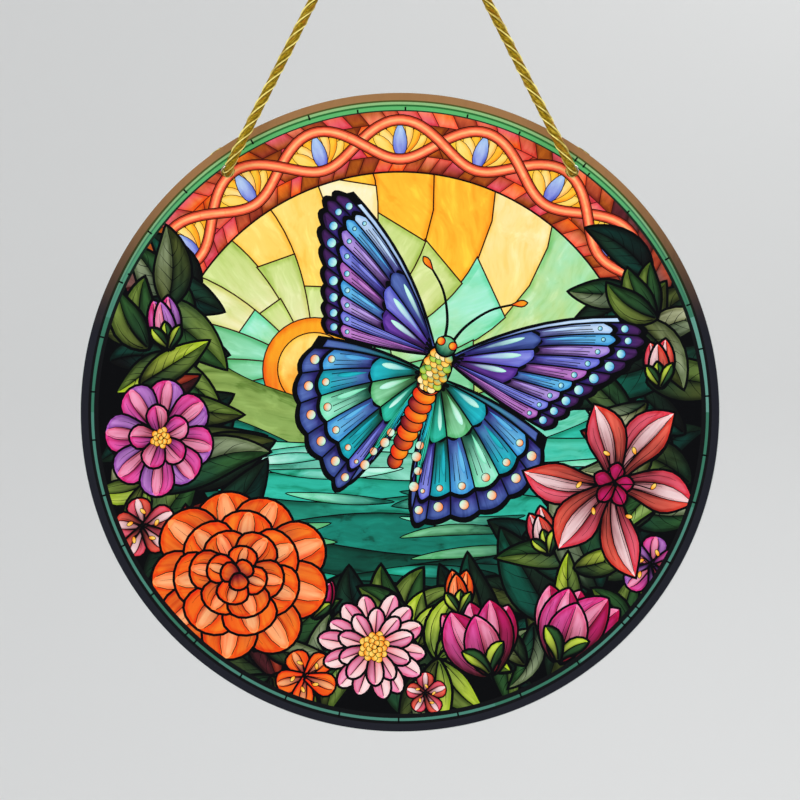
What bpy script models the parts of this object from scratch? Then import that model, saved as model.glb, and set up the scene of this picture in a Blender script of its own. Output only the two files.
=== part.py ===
"""An acrylic suncatcher: a clear round disc with two drilled holes, hung on one length of twisted cord.

Run it with blender --background --python part.py, or from Blender's text editor.

Metres, +Z up. The disc hangs in the XZ plane and its printed face looks along -Y. The origin is the
point where a hook carries the cord, on the underside of the cord's top bend.
"""

import math

import bmesh
import bpy
from mathutils import Vector

# The disc.
DISC_DIAMETER = 0.150
DISC_THICKNESS = 0.003
DISC_CHAMFER = 0.00025
DISC_SIDES = 192

# The two drilled holes, and how far below the hanging point they are.
HOLE_DIAMETER = 0.0032
HOLE_SPACING = 0.0806
HOLE_ABOVE_CENTRE = 0.0565
HOLE_BELOW_HOOK = 0.0733
HOLE_SIDES = 32

# The cord. Its left half runs from the mouth of the left knot, forward through the hole, up in front of
# the disc and over the hook. The right half is its mirror image.
CORD_DIAMETER = 0.0024
CORD_STEPS = 2
LEFT_HALF_OF_CORD = [
    (-0.04036, 0.00150, -0.07342),
    (-0.04036, 0.00020, -0.07342),
    (-0.04020, -0.00151, -0.07317),
    (-0.03967, -0.00321, -0.07224),
    (-0.03889, -0.00433, -0.07085),
    (-0.03802, -0.00479, -0.06926),
    (-0.03411, -0.00425, -0.06139),
    (-0.02676, -0.00323, -0.04655),
    (-0.01941, -0.00222, -0.03172),
    (-0.01156, -0.00113, -0.01589),
    (-0.00666, -0.00045, -0.00600),
    (-0.00446, -0.00015, -0.00155),
    (-0.00335, -0.00004, -0.00008),
    (-0.00179, 0.00000, 0.00087),
    (0.00000, 0.00000, 0.00120),
]

# A tight overhand knot, as the route of its cord in cord diameters: across, away from the disc, up.
# The first point is where the cord comes out of the disc's back, and the last is the end of the tail.
KNOT_GAP = 0.0003
KNOT_STEPS = 3
KNOT_VOXEL = 0.00045
KNOT_ROUTE = [
    (0.00, 0.00, 0.00),
    (0.04, 0.82, -0.02),
    (0.33, 1.37, -0.42),
    (0.86, 1.89, -0.36),
    (1.00, 2.40, 0.17),
    (0.61, 2.65, 0.76),
    (-0.09, 2.54, 0.98),
    (-0.66, 2.12, 0.72),
    (-0.78, 1.66, 0.14),
    (-0.76, 1.20, -0.48),
    (-0.35, 0.73, -0.89),
    (0.36, 0.50, -0.86),
    (0.91, 0.62, -0.37),
    (0.97, 1.07, 0.23),
    (0.54, 1.61, 0.50),
    (0.11, 2.10, 0.15),
    (0.01, 2.83, 0.02),
    (0.00, 3.60, -0.10),
    (-0.02, 4.30, -0.60),
    (-0.06, 4.75, -1.40),
    (-0.10, 4.95, -2.30),
]


def clear_scene():
    """Remove every object, so that the script starts from an empty scene."""
    for obj in list(bpy.data.objects):
        bpy.data.objects.remove(obj, do_unlink=True)


def material(name, color, roughness, metallic=0.0, transmission=0.0, alpha=1.0):
    """A Principled BSDF material of one colour."""
    made = bpy.data.materials.new(name)
    made.use_nodes = True
    made.diffuse_color = (*color, alpha)
    shader = made.node_tree.nodes["Principled BSDF"]
    shader.inputs["Base Color"].default_value = (*color, 1.0)
    shader.inputs["Roughness"].default_value = roughness
    shader.inputs["Metallic"].default_value = metallic
    shader.inputs["Transmission Weight"].default_value = transmission
    return made


def link(name, data, finish):
    """Put mesh or curve data into the scene as the named object, with its material."""
    obj = bpy.data.objects.new(name, data)
    obj.data.materials.append(finish)
    bpy.context.scene.collection.objects.link(obj)
    return obj


def smooth_curve(points, steps):
    """Points on a centripetal Catmull-Rom curve through the given ones, with `steps` to each stretch."""
    given = [Vector(p) for p in points]
    ends = [2 * given[0] - given[1], *given, 2 * given[-1] - given[-2]]
    knots = [0.0]
    for before, after in zip(ends, ends[1:]):
        knots.append(knots[-1] + math.sqrt((after - before).length))
    curve = []
    for i in range(1, len(ends) - 2):
        p0, p1, p2, p3 = ends[i - 1 : i + 3]
        t0, t1, t2, t3 = knots[i - 1 : i + 3]
        for step in range(steps):
            t = t1 + (t2 - t1) * step / steps
            a1 = p0.lerp(p1, (t - t0) / (t1 - t0))
            a2 = p1.lerp(p2, (t - t1) / (t2 - t1))
            a3 = p2.lerp(p3, (t - t2) / (t3 - t2))
            b1 = a1.lerp(a2, (t - t0) / (t2 - t0))
            b2 = a2.lerp(a3, (t - t1) / (t3 - t1))
            curve.append(b1.lerp(b2, (t - t1) / (t2 - t1)))
    curve.append(given[-1])
    return curve


def tube(name, points, diameter, finish):
    """A round tube along the points, with capped ends."""
    curve = bpy.data.curves.new(name, "CURVE")
    curve.dimensions = "3D"
    curve.bevel_depth = diameter / 2
    curve.bevel_resolution = 2
    curve.use_fill_caps = True
    spline = curve.splines.new("POLY")
    spline.points.add(len(points) - 1)
    for place, point in zip(spline.points, points):
        place.co = (*point, 1.0)
    return link(name, curve, finish)


def cylinder_mesh(name, diameter, length, sides):
    """A closed cylinder about the Y axis, centred on its own origin."""
    bm = bmesh.new()
    bmesh.ops.create_cone(
        bm, cap_ends=True, segments=sides, radius1=diameter / 2, radius2=diameter / 2, depth=length
    )
    for vertex in bm.verts:
        x, y, z = vertex.co
        vertex.co = (x, -z, y)
    bmesh.ops.recalc_face_normals(bm, faces=bm.faces)
    mesh = bpy.data.meshes.new(name)
    bm.to_mesh(mesh)
    bm.free()
    return mesh


def make_disc(centre, holes):
    """The clear disc, with chamfered rims and the two holes drilled through it."""
    finish = material("clear_acrylic", (0.92, 0.95, 0.94), 0.03, transmission=1.0, alpha=0.4)
    disc = link(
        "acrylic_disc",
        cylinder_mesh("acrylic_disc", DISC_DIAMETER, DISC_THICKNESS, DISC_SIDES),
        finish,
    )
    disc.location = centre
    for number, hole in enumerate(holes, start=1):
        cutter = link(
            f"hole_cutter_{number}",
            cylinder_mesh("hole_cutter", HOLE_DIAMETER, 3 * DISC_THICKNESS, HOLE_SIDES),
            finish,
        )
        cutter.location = hole
        cutter.hide_render = True
        cutter.display_type = "WIRE"
        drill = disc.modifiers.new(f"drill_{number}", "BOOLEAN")
        drill.operation = "DIFFERENCE"
        drill.object = cutter
    chamfer = disc.modifiers.new("chamfer", "BEVEL")
    chamfer.width = DISC_CHAMFER
    chamfer.segments = 1
    chamfer.limit_method = "ANGLE"
    chamfer.angle_limit = math.radians(60)
    for face in disc.data.polygons:
        face.use_smooth = True
    disc.data.set_sharp_from_angle(angle=math.radians(30))
    return disc


def make_cord(finish):
    """The plain tube of the hanging cord, from knot to knot."""
    right_half = [(-x, y, z) for x, y, z in reversed(LEFT_HALF_OF_CORD[:-1])]
    return tube(
        "hanging_cord",
        smooth_curve(LEFT_HALF_OF_CORD + right_half, CORD_STEPS),
        CORD_DIAMETER,
        finish,
    )


def make_knot(name, side, finish):
    """The knot behind one hole, fused into one solid. side is -1 on the left and 1 on the right."""
    across, _, up = LEFT_HALF_OF_CORD[0]
    mouth = Vector((-side * across, DISC_THICKNESS / 2 + KNOT_GAP, up))
    route = [
        mouth + CORD_DIAMETER * Vector((-side * x, away, rise)) for x, away, rise in KNOT_ROUTE
    ]
    knot = tube(name, smooth_curve(route, KNOT_STEPS), CORD_DIAMETER, finish)
    fuse = knot.modifiers.new("fuse", "REMESH")
    fuse.mode = "VOXEL"
    fuse.voxel_size = KNOT_VOXEL
    fuse.use_smooth_shade = True
    return knot


def main():
    clear_scene()
    gold = material("gold_cord", (0.72, 0.55, 0.16), 0.45, metallic=0.6)
    half = HOLE_SPACING / 2
    holes = [Vector((side * half, 0, -HOLE_BELOW_HOOK)) for side in (-1, 1)]
    centre = Vector((0, 0, -HOLE_BELOW_HOOK - HOLE_ABOVE_CENTRE))
    make_disc(centre, holes)
    make_cord(gold)
    make_knot("knot_left", -1, gold)
    make_knot("knot_right", 1, gold)


main()
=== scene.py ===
"""Looks of an acrylic suncatcher: a clear disc, its printed stained-glass picture and a twisted gold cord.

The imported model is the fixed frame, in metres, +Z up, with the printed face towards -Y. The picture is
drawn in millimetres from the disc's centre.
"""

import cmath
import logging
import math
import random
from contextlib import contextmanager
from dataclasses import dataclass, field
from enum import Enum
from typing import Iterator, Sequence

import bpy
import numpy as np
from bpy.types import Material, Mesh, NodeSocket, Object
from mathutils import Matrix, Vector
from mathutils.geometry import delaunay_2d_cdt


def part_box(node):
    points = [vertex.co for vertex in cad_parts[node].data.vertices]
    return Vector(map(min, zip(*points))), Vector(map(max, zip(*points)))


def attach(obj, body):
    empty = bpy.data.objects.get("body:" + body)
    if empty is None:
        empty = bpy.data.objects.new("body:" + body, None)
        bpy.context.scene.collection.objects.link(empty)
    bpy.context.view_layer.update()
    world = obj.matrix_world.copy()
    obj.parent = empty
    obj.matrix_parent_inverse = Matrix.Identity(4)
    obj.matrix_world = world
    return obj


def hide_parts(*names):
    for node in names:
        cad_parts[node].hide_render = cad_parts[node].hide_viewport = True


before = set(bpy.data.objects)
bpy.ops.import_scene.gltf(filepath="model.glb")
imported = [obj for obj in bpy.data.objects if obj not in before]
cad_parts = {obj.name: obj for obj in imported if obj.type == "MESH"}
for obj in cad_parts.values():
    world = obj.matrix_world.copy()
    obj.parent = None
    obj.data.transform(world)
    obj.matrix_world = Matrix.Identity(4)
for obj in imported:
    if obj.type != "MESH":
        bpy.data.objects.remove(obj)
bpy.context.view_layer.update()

LOG = logging.getLogger("suncatcher")

MM = 0.001
GOLDEN_ANGLE = 137.5
Point3 = tuple[float, float, float]
Colour = tuple[float, float, float]
Span = tuple[float, float]
Array = np.ndarray

# The cord's route from the left knot to the hook, as in the frame. The right half is its mirror image.
LEFT_HALF_OF_CORD: list[Point3] = [
    (-0.04036, 0.00150, -0.07342),
    (-0.04036, 0.00020, -0.07342),
    (-0.04020, -0.00151, -0.07317),
    (-0.03967, -0.00321, -0.07224),
    (-0.03889, -0.00433, -0.07085),
    (-0.03802, -0.00479, -0.06926),
    (-0.03411, -0.00425, -0.06139),
    (-0.02676, -0.00323, -0.04655),
    (-0.01941, -0.00222, -0.03172),
    (-0.01156, -0.00113, -0.01589),
    (-0.00666, -0.00045, -0.00600),
    (-0.00446, -0.00015, -0.00155),
    (-0.00335, -0.00004, -0.00008),
    (-0.00179, 0.00000, 0.00087),
    (0.00000, 0.00000, 0.00120),
]

# A tight overhand knot, as the route of its cord in cord diameters: across, away from the disc, up.
KNOT_ROUTE: list[Point3] = [
    (0.00, 0.00, 0.00),
    (0.04, 0.82, -0.02),
    (0.33, 1.37, -0.42),
    (0.86, 1.89, -0.36),
    (1.00, 2.40, 0.17),
    (0.61, 2.65, 0.76),
    (-0.09, 2.54, 0.98),
    (-0.66, 2.12, 0.72),
    (-0.78, 1.66, 0.14),
    (-0.76, 1.20, -0.48),
    (-0.35, 0.73, -0.89),
    (0.36, 0.50, -0.86),
    (0.91, 0.62, -0.37),
    (0.97, 1.07, 0.23),
    (0.54, 1.61, 0.50),
    (0.11, 2.10, 0.15),
    (0.01, 2.83, 0.02),
    (0.00, 3.60, -0.10),
    (-0.02, 4.30, -0.60),
    (-0.06, 4.75, -1.40),
    (-0.10, 4.95, -2.30),
]


class Tint(Enum):
    """Named glass, petal, leaf and lead colours, as 24-bit display codes."""

    BLACK = 0x07080B
    UMBER = 0x3A0F0A
    NAVY = 0x1B1C25
    TAN = 0x9C7248
    MAUVE = 0x6E4A45
    MAROON = 0x571F26
    RUSSET = 0xA8500F
    BRICK = 0x9E3A22
    TERRACOTTA = 0xCB5630
    CORAL = 0xEC6350
    SALMON = 0xFF8663
    ROSE = 0xE8576A
    APRICOT = 0xFFAE74
    PEACH = 0xFFD0A0
    ORANGE = 0xF4701A
    FLAME = 0xF0431A
    AMBER = 0xF9A51F
    GOLD = 0xFFC838
    HONEY = 0xFFDF78
    CREAM = 0xFFF2C4
    LIME = 0xC6D84A
    PEAR = 0xCBDD86
    MEADOW = 0x9DC069
    MOSS = 0x71883A
    OLIVE = 0x4B5423
    FERN = 0x2F5A2A
    FOREST = 0x14301F
    SAGE = 0x8F9C78
    STONE = 0xC9CBA6
    MINT = 0x9BEBCB
    ICE = 0xCDF8EA
    SEA = 0x2FBDA2
    TEAL = 0x158A78
    CLOVER = 0x5CB46A
    CELADON = 0x8CBC7C
    GRASS = 0x286C32
    JADE = 0x84D09C
    BOTTLE = 0x0B5A46
    DEEP = 0x06342C
    TURQUOISE = 0x1FB4C0
    SKY = 0x62B7E4
    SKYLIGHT = 0xC2DBF5
    GLASS = 0x488272
    SEA_GLASS = 0x5E9688
    BOTTLE_GLASS = 0x36725C
    SLATE = 0x4D63A6
    PERIWINKLE = 0x8288DC
    INDIGO = 0x3A2C80
    VIOLET = 0x6A3DA3
    LAVENDER = 0xB59ADF
    ORCHID = 0xC07FCB
    PLUM = 0x46205C
    MAGENTA = 0xC21A68
    FUCHSIA = 0xE4509E
    PINK = 0xF59CBD
    BLUSH = 0xFCDDDD
    CRIMSON = 0x8A0F2C
    YARN = 0xBE9C22
    OLD_GOLD = 0x765F06
    COPPER = 0xA86418
    BRONZE = 0x4A3A04
    STRAW = 0xDDBE48
    # The pale yellow of the cord's painted highlight and glow.
    GLEAM = 0xFFEE8A

    @property
    def linear(self) -> Colour:
        """The tint as linear red, green and blue."""
        channels = [(self.value >> shift & 255) / 255 for shift in (16, 8, 0)]
        return tuple(c / 12.92 if c <= 0.04045 else ((c + 0.055) / 1.055) ** 2.4 for c in channels)


Tints = tuple[Tint, Tint]
Cells = tuple[Tints, ...]


def named(names: str) -> tuple[Tint, ...]:
    """The tints of these names, such as a root tint and a tip tint."""
    return tuple(Tint[name] for name in names.upper().split())


def pairs(names: str) -> Cells:
    """Root and tip tints by name, with commas between the pairs."""
    return tuple(named(pair) for pair in names.split(","))


# ---- Shader maths ----


class Wire:
    """A shader socket whose arithmetic adds Math nodes."""

    def __init__(self, graph: "Graph", socket: NodeSocket) -> None:
        """Wrap one output socket of a graph."""
        self.graph = graph
        self.socket = socket

    def maths(self, operation: str, *values: "Operand") -> "Wire":
        """Run a Math node on the values.

        Args:
            operation: the Math node's operation.
            values: its inputs in order, as numbers or wires.

        Returns:
            The node's result.
        """
        return self.graph.node("ShaderNodeMath", {"operation": operation}, dict(enumerate(values)))

    def also(self, name: str) -> "Wire":
        """Another output of the same node."""
        return Wire(self.graph, self.socket.node.outputs[name])

    def __add__(self, other: "Operand") -> "Wire":
        """self + other."""
        return self.maths("ADD", self, other)

    def __sub__(self, other: "Operand") -> "Wire":
        """self - other."""
        return self.maths("SUBTRACT", self, other)

    def __rsub__(self, other: "Operand") -> "Wire":
        """other - self."""
        return self.maths("SUBTRACT", other, self)

    def __mul__(self, other: "Operand") -> "Wire":
        """self * other."""
        return self.maths("MULTIPLY", self, other)

    __radd__ = __add__
    __rmul__ = __mul__

    def wave(self) -> "Wire":
        """A sine wave between 0 and 1, with a period of one."""
        return self.maths("SINE", self * math.tau) * 0.5 + 0.5

    def rise(self, low: float, high: float) -> "Wire":
        """A smooth step from 0 at low to 1 at high.

        Args:
            low: the value where the step starts.
            high: the value where it ends, which may be below low.

        Returns:
            The step, between 0 and 1.
        """
        if low > high:
            return 1.0 - self.rise(high, low)
        limits = {"Value": self, "From Min": low, "From Max": high}
        return self.graph.node("ShaderNodeMapRange", {"interpolation_type": "SMOOTHSTEP"}, limits)


Operand = Wire | float


class Graph:
    """The node tree of one material, round a Principled shader."""

    def __init__(self, name: str) -> None:
        """Start a material.

        Args:
            name: its name.
        """
        self.material = bpy.data.materials.new(name)
        self.material.use_nodes = True
        self.tree = self.material.node_tree
        self.shader = self.tree.nodes["Principled BSDF"]

    def node(self, kind: str, settings: dict | None = None, sockets: dict | None = None) -> Wire:
        """Add a node.

        Args:
            kind: the node's type.
            settings: its properties, which are set first.
            sockets: values or wires of its inputs, by name or number.

        Returns:
            The node's first enabled output.
        """
        made = self.tree.nodes.new(kind)
        for key, value in (settings or {}).items():
            setattr(made, key, value)
        for key, value in (sockets or {}).items():
            self.put(made.inputs[key], value)
        return Wire(self, next(s for s in made.outputs if s.enabled))

    def put(self, socket: NodeSocket, value: "Wire | Sequence[float] | float") -> None:
        """Link a wire to a socket, or set the socket's own value.

        Args:
            socket: the input socket.
            value: the wire or the plain value.
        """
        if isinstance(value, Wire):
            self.tree.links.new(value.socket, socket)
        else:
            socket.default_value = value

    def attribute(self, name: str, output: str) -> Wire:
        """A mesh attribute, read as Color, Vector or Fac."""
        return self.node("ShaderNodeAttribute", {"attribute_name": name}).also(output)

    def place(self) -> Wire:
        """Where a point of the piece lies, in metres."""
        return self.node("ShaderNodeTexCoord").also("Object")

    def parts(self, vector: Wire) -> tuple[Wire, Wire, Wire]:
        """The three numbers of a vector."""
        x = self.node("ShaderNodeSeparateXYZ", sockets={0: vector})
        return x, x.also("Y"), x.also("Z")

    def stretched(self, vector: Wire, by: Sequence[float]) -> Wire:
        """The vector with each axis multiplied."""
        return self.node("ShaderNodeVectorMath", {"operation": "MULTIPLY"}, {0: vector, 1: by})

    def noise(self, vector: Wire, scale: float, detail: float = 3.0, rough: float = 0.5) -> Wire:
        """Noise between 0 and 1 at the vector's place.

        Args:
            vector: where the noise is read.
            scale: how fine it is.
            detail: its octaves.
            rough: how much the finer octaves show.

        Returns:
            The noise's value.
        """
        sockets = {"Vector": vector, "Scale": scale, "Detail": detail, "Roughness": rough}
        return self.node("ShaderNodeTexNoise", sockets=sockets)

    def mix(self, share: Operand, first: "Wire | Tint", second: "Wire | Tint", kind: str = "MIX") -> Wire:
        """Blend two colours.

        Args:
            share: how much of the second shows.
            first: the colour at 0.
            second: the colour at 1.
            kind: how they blend, as the Mix node's blend type.

        Returns:
            The blended colour.
        """
        sides = [(*side.linear, 1.0) if isinstance(side, Tint) else side for side in (first, second)]
        settings = {"data_type": "RGBA", "blend_type": kind}
        return self.node("ShaderNodeMix", settings, {0: share, 6: sides[0], 7: sides[1]})

    def bump(self, height: Wire, strength: float, distance: float) -> None:
        """Raise the surface's normal by a height, whose full size is `distance` in metres."""
        sockets = {"Height": height, "Strength": strength, "Distance": distance}
        self.finish(Normal=self.node("ShaderNodeBump", sockets=sockets))

    def finish(self, **sockets: "Wire | Sequence[float] | float") -> Material:
        """Set sockets of the shader.

        Args:
            sockets: values or wires by the socket's name, with _ for a space.

        Returns:
            The material.
        """
        for name, value in sockets.items():
            self.put(self.shader.inputs[name.replace("_", " ")], value)
        return self.material


# ---- Finishes ----


@dataclass(frozen=True)
class PrintedInk:
    """Printed ink that imitates a pane of art glass.

    Its colour runs from the pane's root tint to its tip tint, with streaks along the pane's grain, and
    it deepens towards the pane's edge. A hem is a pale line just inside that edge, and a wandering grain
    swirls as poured glass does, by that many millimetres.
    """

    name: str
    # How finely the streaks lie along the grain and across it.
    streak: Span = (0.08, 0.9)
    softness: float = 0.5
    pale: float = 0.5
    dark: float = 0.5
    shade: float = 0.25
    edge: float = 0.7
    hem: float = 0.0
    wander: float = 0.0
    # Painted light: the ink glows in its own colour by this strength, as if lit from behind.
    glow: float = 0.2

    def build(self) -> Material:
        """Make the material.

        Returns:
            The ink of one film.
        """
        graph = Graph(self.name)
        along, across, inset = graph.parts(graph.attribute("Cell", "Vector"))
        grain = graph.attribute("Grain", "Vector")
        if self.wander:
            swirl = graph.noise(grain, 0.05, 2.0).also("Color")
            swirl = graph.stretched(swirl, (self.wander,) * 3)
            grain = graph.node("ShaderNodeVectorMath", {"operation": "ADD"}, {0: grain, 1: swirl})
        cloud = graph.noise(graph.stretched(grain, (0.5, 1.0, 1.0)), 0.35, 2.0)
        run = (along + (cloud - 0.5) * self.softness).rise(-0.05, 1.05)
        colour = graph.mix(run, graph.attribute("Root", "Color"), graph.attribute("Tip", "Color"))
        streaks = graph.noise(graph.stretched(grain, (*self.streak, 1.0)), 1.0, 3.0, 0.6)
        lights = [streaks.rise(0.5, 0.72) * self.pale, across.rise(0.0, 1.2) * self.shade]
        darks = [streaks.rise(0.5, 0.3) * self.dark, across.rise(0.0, -1.2) * self.shade]
        darks.append((inset + (cloud - 0.5) * 0.5).rise(1.0, 0.0) * self.edge)
        if self.hem:
            lights.append(inset.rise(0.22, 0.1) * self.hem)
        for share in darks:
            colour = graph.mix(share, colour, colour, "MULTIPLY")
        for share in lights:
            colour = graph.mix(share, colour, colour, "SCREEN")
        graph.bump(graph.noise(grain, 2.2, 2.0), 0.25, 0.00004)
        return graph.finish(
            Base_Color=colour,
            # Painted light: the ink glows in its own colour.
            Emission_Color=colour,
            Emission_Strength=self.glow,
            Roughness=0.34 + 0.16 * cloud,
            Specular_IOR_Level=0.12,
        )


@dataclass(frozen=True)
class LeadInk:
    """The dark printed lines between the panes, a little glossier than the colours."""

    name: str = "lead_line_ink"

    def build(self) -> Material:
        """Make the material.

        Returns:
            The lines' ink.
        """
        graph = Graph(self.name)
        mottle = graph.noise(graph.place(), 900.0, 2.0)
        graph.bump(mottle, 0.2, 0.00003)
        return graph.finish(
            Base_Color=graph.attribute("Root", "Color"),
            Roughness=0.3 + 0.2 * mottle,
            Specular_IOR_Level=0.06,
        )


@dataclass(frozen=True)
class ClearAcrylic:
    """Cast acrylic with polished faces and finely sawn, flame-polished edges."""

    name: str = "cast_acrylic"
    ior: float = 1.49

    def build(self) -> Material:
        """Make the material.

        Returns:
            The see-through plastic.
        """
        graph = Graph(self.name)
        ripple = graph.noise(graph.stretched(graph.place(), (1.0, 12.0, 1.0)), 90.0, 2.0)
        graph.bump(ripple, 0.05, 0.00005)
        return graph.finish(
            Base_Color=(0.95, 0.985, 0.975, 1.0),
            Roughness=0.02 + 0.03 * ripple,
            IOR=self.ior,
            Transmission_Weight=1.0,
        )


@dataclass(frozen=True)
class GoldCordYarn:
    """Metallic yarn: olive and brown plies, a thread along each with a painted pale highlight on it, painted
    shade beside it and a faint painted glow.

    A ply's fibres are so many threads across it, each a pitch long in millimetres.
    """

    name: str = "gold_metallic_yarn"
    threads: int = 7
    thread_pitch: float = 1.3

    def build(self) -> Material:
        """Make the material.

        Returns:
            The yarn of the cord and its knots.
        """
        graph = Graph(self.name)
        lay = graph.attribute("Lay", "Vector")
        across, along, _ = graph.parts(lay)
        thread = (across * self.threads + along * (1.0 / self.thread_pitch)).wave()
        fray = graph.noise(graph.stretched(lay, (5.0, 1.6, 1.0)), 1.0, 3.0, 0.65)
        patch = graph.noise(graph.stretched(lay, (1.5, 0.5, 3.7)), 1.0, 1.0)
        streak = graph.noise(graph.stretched(lay, (9.0, 0.7, 2.3)), 1.0, 2.0, 0.6)
        colour = graph.mix(fray.rise(0.35, 0.68), Tint.OLD_GOLD, Tint.YARN)
        colour = graph.mix(patch.rise(0.52, 0.68) * 0.8, colour, Tint.COPPER)
        # Painted shade: the ply darkens next to the groove and on the near side of its thread.
        groove_shade = across.rise(0.28, 0.05) + across.rise(0.45, 0.72) * 0.6
        colour = graph.mix(groove_shade * 0.85, colour, Tint.BRONZE)
        colour = graph.mix(streak.rise(0.56, 0.7) * 0.8, colour, Tint.BRONZE)
        colour = graph.mix(streak.rise(0.46, 0.34) * 0.7, colour, Tint.STRAW)
        # Painted highlight: a pale band on the raised thread of each ply, broken up by the patches and the
        # fibres.
        gleam = across.rise(0.77, 0.86) - across.rise(0.96, 1.0)
        gleam = gleam * (0.45 + 0.55 * patch.rise(0.66, 0.44))
        colour = graph.mix(gleam * (0.85 + 0.15 * thread), colour, Tint.GLEAM)
        graph.bump(thread * 0.8 + fray * 0.5, 0.5, 0.00009)
        return graph.finish(
            Base_Color=colour,
            Metallic=0.5,
            Roughness=0.42 + 0.2 * fray,
            Specular_IOR_Level=0.1,
            # Painted light: the yarn glows faintly, brightest along the painted highlight.
            Emission_Color=graph.mix(gleam, Tint.OLD_GOLD, Tint.GLEAM),
            Emission_Strength=0.28,
            Sheen_Weight=0.25,
            Sheen_Roughness=0.3,
            Sheen_Tint=(1.0, 0.9, 0.45, 1.0),
        )


@dataclass(frozen=True)
class PaperBackdrop:
    """Matt studio paper."""

    name: str = "studio_paper"
    tone: Colour = (0.80, 0.80, 0.79)

    def build(self) -> Material:
        """Make the material.

        Returns:
            The paper of the sweep.
        """
        graph = Graph(self.name)
        graph.bump(graph.noise(graph.place(), 40.0, 2.0), 0.05, 0.0002)
        return graph.finish(Base_Color=(*self.tone, 1.0), Roughness=0.9, Specular_IOR_Level=0.1)


# ---- Curves and outlines ----
# A spot of the picture is a complex number: millimetres to the right, and millimetres up as j.

Grain = tuple[complex, complex]


def polar(radius: float, degrees: float) -> complex:
    """The spot at a radius and a direction."""
    return cmath.rect(radius, math.radians(degrees))


def arc(radius: float, start: float, end: float, steps: int) -> Array:
    """Spots on an arc round the origin, between two directions in degrees."""
    return radius * np.exp(1j * np.radians(np.linspace(start, end, steps)))


def disc(radius: float, steps: int = 24) -> Array:
    """The outline of a disc round the origin."""
    return arc(radius, 0.0, 360.0, steps + 1)[:-1]


def between(side: Array, other: Array) -> Array:
    """The outline between two lines that run the same way."""
    return np.concatenate([side, other[::-1]])


def smooth(points: Sequence, steps: int) -> Array:
    """Places on a centripetal Catmull-Rom curve.

    Args:
        points: the places it runs through, as complex numbers or as rows of coordinates.
        steps: how many places each stretch is given.

    Returns:
        The places in order.
    """
    given = np.asarray(points)
    ends = np.concatenate([2 * given[:1] - given[1:2], given, 2 * given[-1:] - given[-2:-1]])
    gaps = np.abs(np.diff(ends, axis=0)).reshape(len(ends) - 1, -1)
    knots = np.concatenate([[0.0], np.cumsum(np.sqrt(np.linalg.norm(gaps, axis=1)))])
    share = (np.arange(steps) / steps).reshape([-1] + [1] * (given.ndim - 1))
    curve = []
    for i in range(1, len(ends) - 2):
        p0, p1, p2, p3 = ends[i - 1 : i + 3]
        t0, t1, t2, t3 = knots[i - 1 : i + 3]
        t = t1 + (t2 - t1) * share
        a1 = p0 + (p1 - p0) * (t - t0) / (t1 - t0)
        a2 = p1 + (p2 - p1) * (t - t1) / (t2 - t1)
        a3 = p2 + (p3 - p2) * (t - t2) / (t3 - t2)
        b1 = a1 + (a2 - a1) * (t - t0) / (t2 - t0)
        b2 = a2 + (a3 - a2) * (t - t1) / (t3 - t1)
        curve.append(b1 + (b2 - b1) * (t - t1) / (t2 - t1))
    return np.concatenate([*curve, given[-1:]])


def evenly(route: Array, gap: float) -> Array:
    """Respace a route.

    Args:
        route: its places, as rows of coordinates.
        gap: about how far apart the new places are.

    Returns:
        The new places, as rows.
    """
    lengths = np.concatenate([[0.0], np.cumsum(np.linalg.norm(np.diff(route, axis=0), axis=1))])
    at = np.linspace(0.0, lengths[-1], round(lengths[-1] / gap) + 1)
    return np.stack([np.interp(at, lengths, column) for column in route.T], axis=1)


def turning(outline: Array) -> float:
    """1 for an outline that runs anticlockwise, -1 for one that runs clockwise."""
    return float(np.sign((np.conj(outline) * np.roll(outline, -1)).imag.sum()))


def distinct(outline: Array) -> Array:
    """The outline without corners that repeat the one before."""
    return outline[np.abs(outline - np.roll(outline, 1)) > 1e-3]


def grown(outline: Array, by: float) -> Array:
    """Move an outline outwards.

    Args:
        outline: the corners in order.
        by: how far it moves, inwards where it is negative.

    Returns:
        The moved corners, mitred.
    """
    outline = distinct(outline)
    way = np.roll(outline, -1) - outline
    out = -1j * turning(outline) * way / np.abs(way)
    both = out + np.roll(out, 1)
    return outline + by * both / np.maximum(np.abs(both) ** 2 / 2, 0.3)


def ribbon(line: Array, start: float, end: float) -> Array:
    """Draw a stroke along a line.

    Args:
        line: its middle line.
        start: its width at the start.
        end: its width at the end.

    Returns:
        The stroke's outline.
    """
    way = np.gradient(line)
    side = 1j * way / np.abs(way) * np.linspace(start, end, len(line)) / 2
    return between(line - side, line + side)


@dataclass(frozen=True)
class Blade:
    """A leaf, petal or wing cell: a shape along a bowed spine.

    Its spots are given by two shares: of the spine's length, and of the half width to the left.
    """

    base: complex
    tip: complex
    width: float
    bow: float = 0.0
    belly: float = 0.5
    taper: float = 0.8
    blunt: float = 0.0

    def at(self, along: Array | float, across: Array | float) -> Array:
        """Find spots of the blade.

        Args:
            along: their shares of the length.
            across: their shares of the half width.

        Returns:
            The spots.
        """
        way = self.tip - self.base
        along = np.clip(along, 0.0, 1.0)
        swell = np.sin(np.pi * along ** (math.log(0.5) / math.log(self.belly))) ** self.taper
        foot = self.blunt * (1 - along)
        half = self.width / 2 * (foot + (1 - foot) * swell)
        spine = self.base + way * (along + 4j * self.bow * along * (1 - along))
        slant = way * (1 + 4j * self.bow * (1 - 2 * along))
        return spine + 1j * slant / np.abs(slant) * half * across

    def cell(self, low: float = -1.0, high: float = 1.0) -> Array:
        """Outline the blade, or a lengthwise part of it.

        Args:
            low: the share of the half width where the part starts.
            high: the share where it ends.

        Returns:
            The outline.
        """
        steps = 7 + int(abs(self.tip - self.base) / 2.2)
        along = (1 - np.cos(np.linspace(0, np.pi, steps))) / 2
        return np.concatenate([self.at(along, low), self.at(along[::-1], high)])

    def line(self, across: float, start: float, end: float) -> Array:
        """The line at one share of the half width, between two shares of the length."""
        return self.at(np.linspace(start, end, 9), across)


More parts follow.
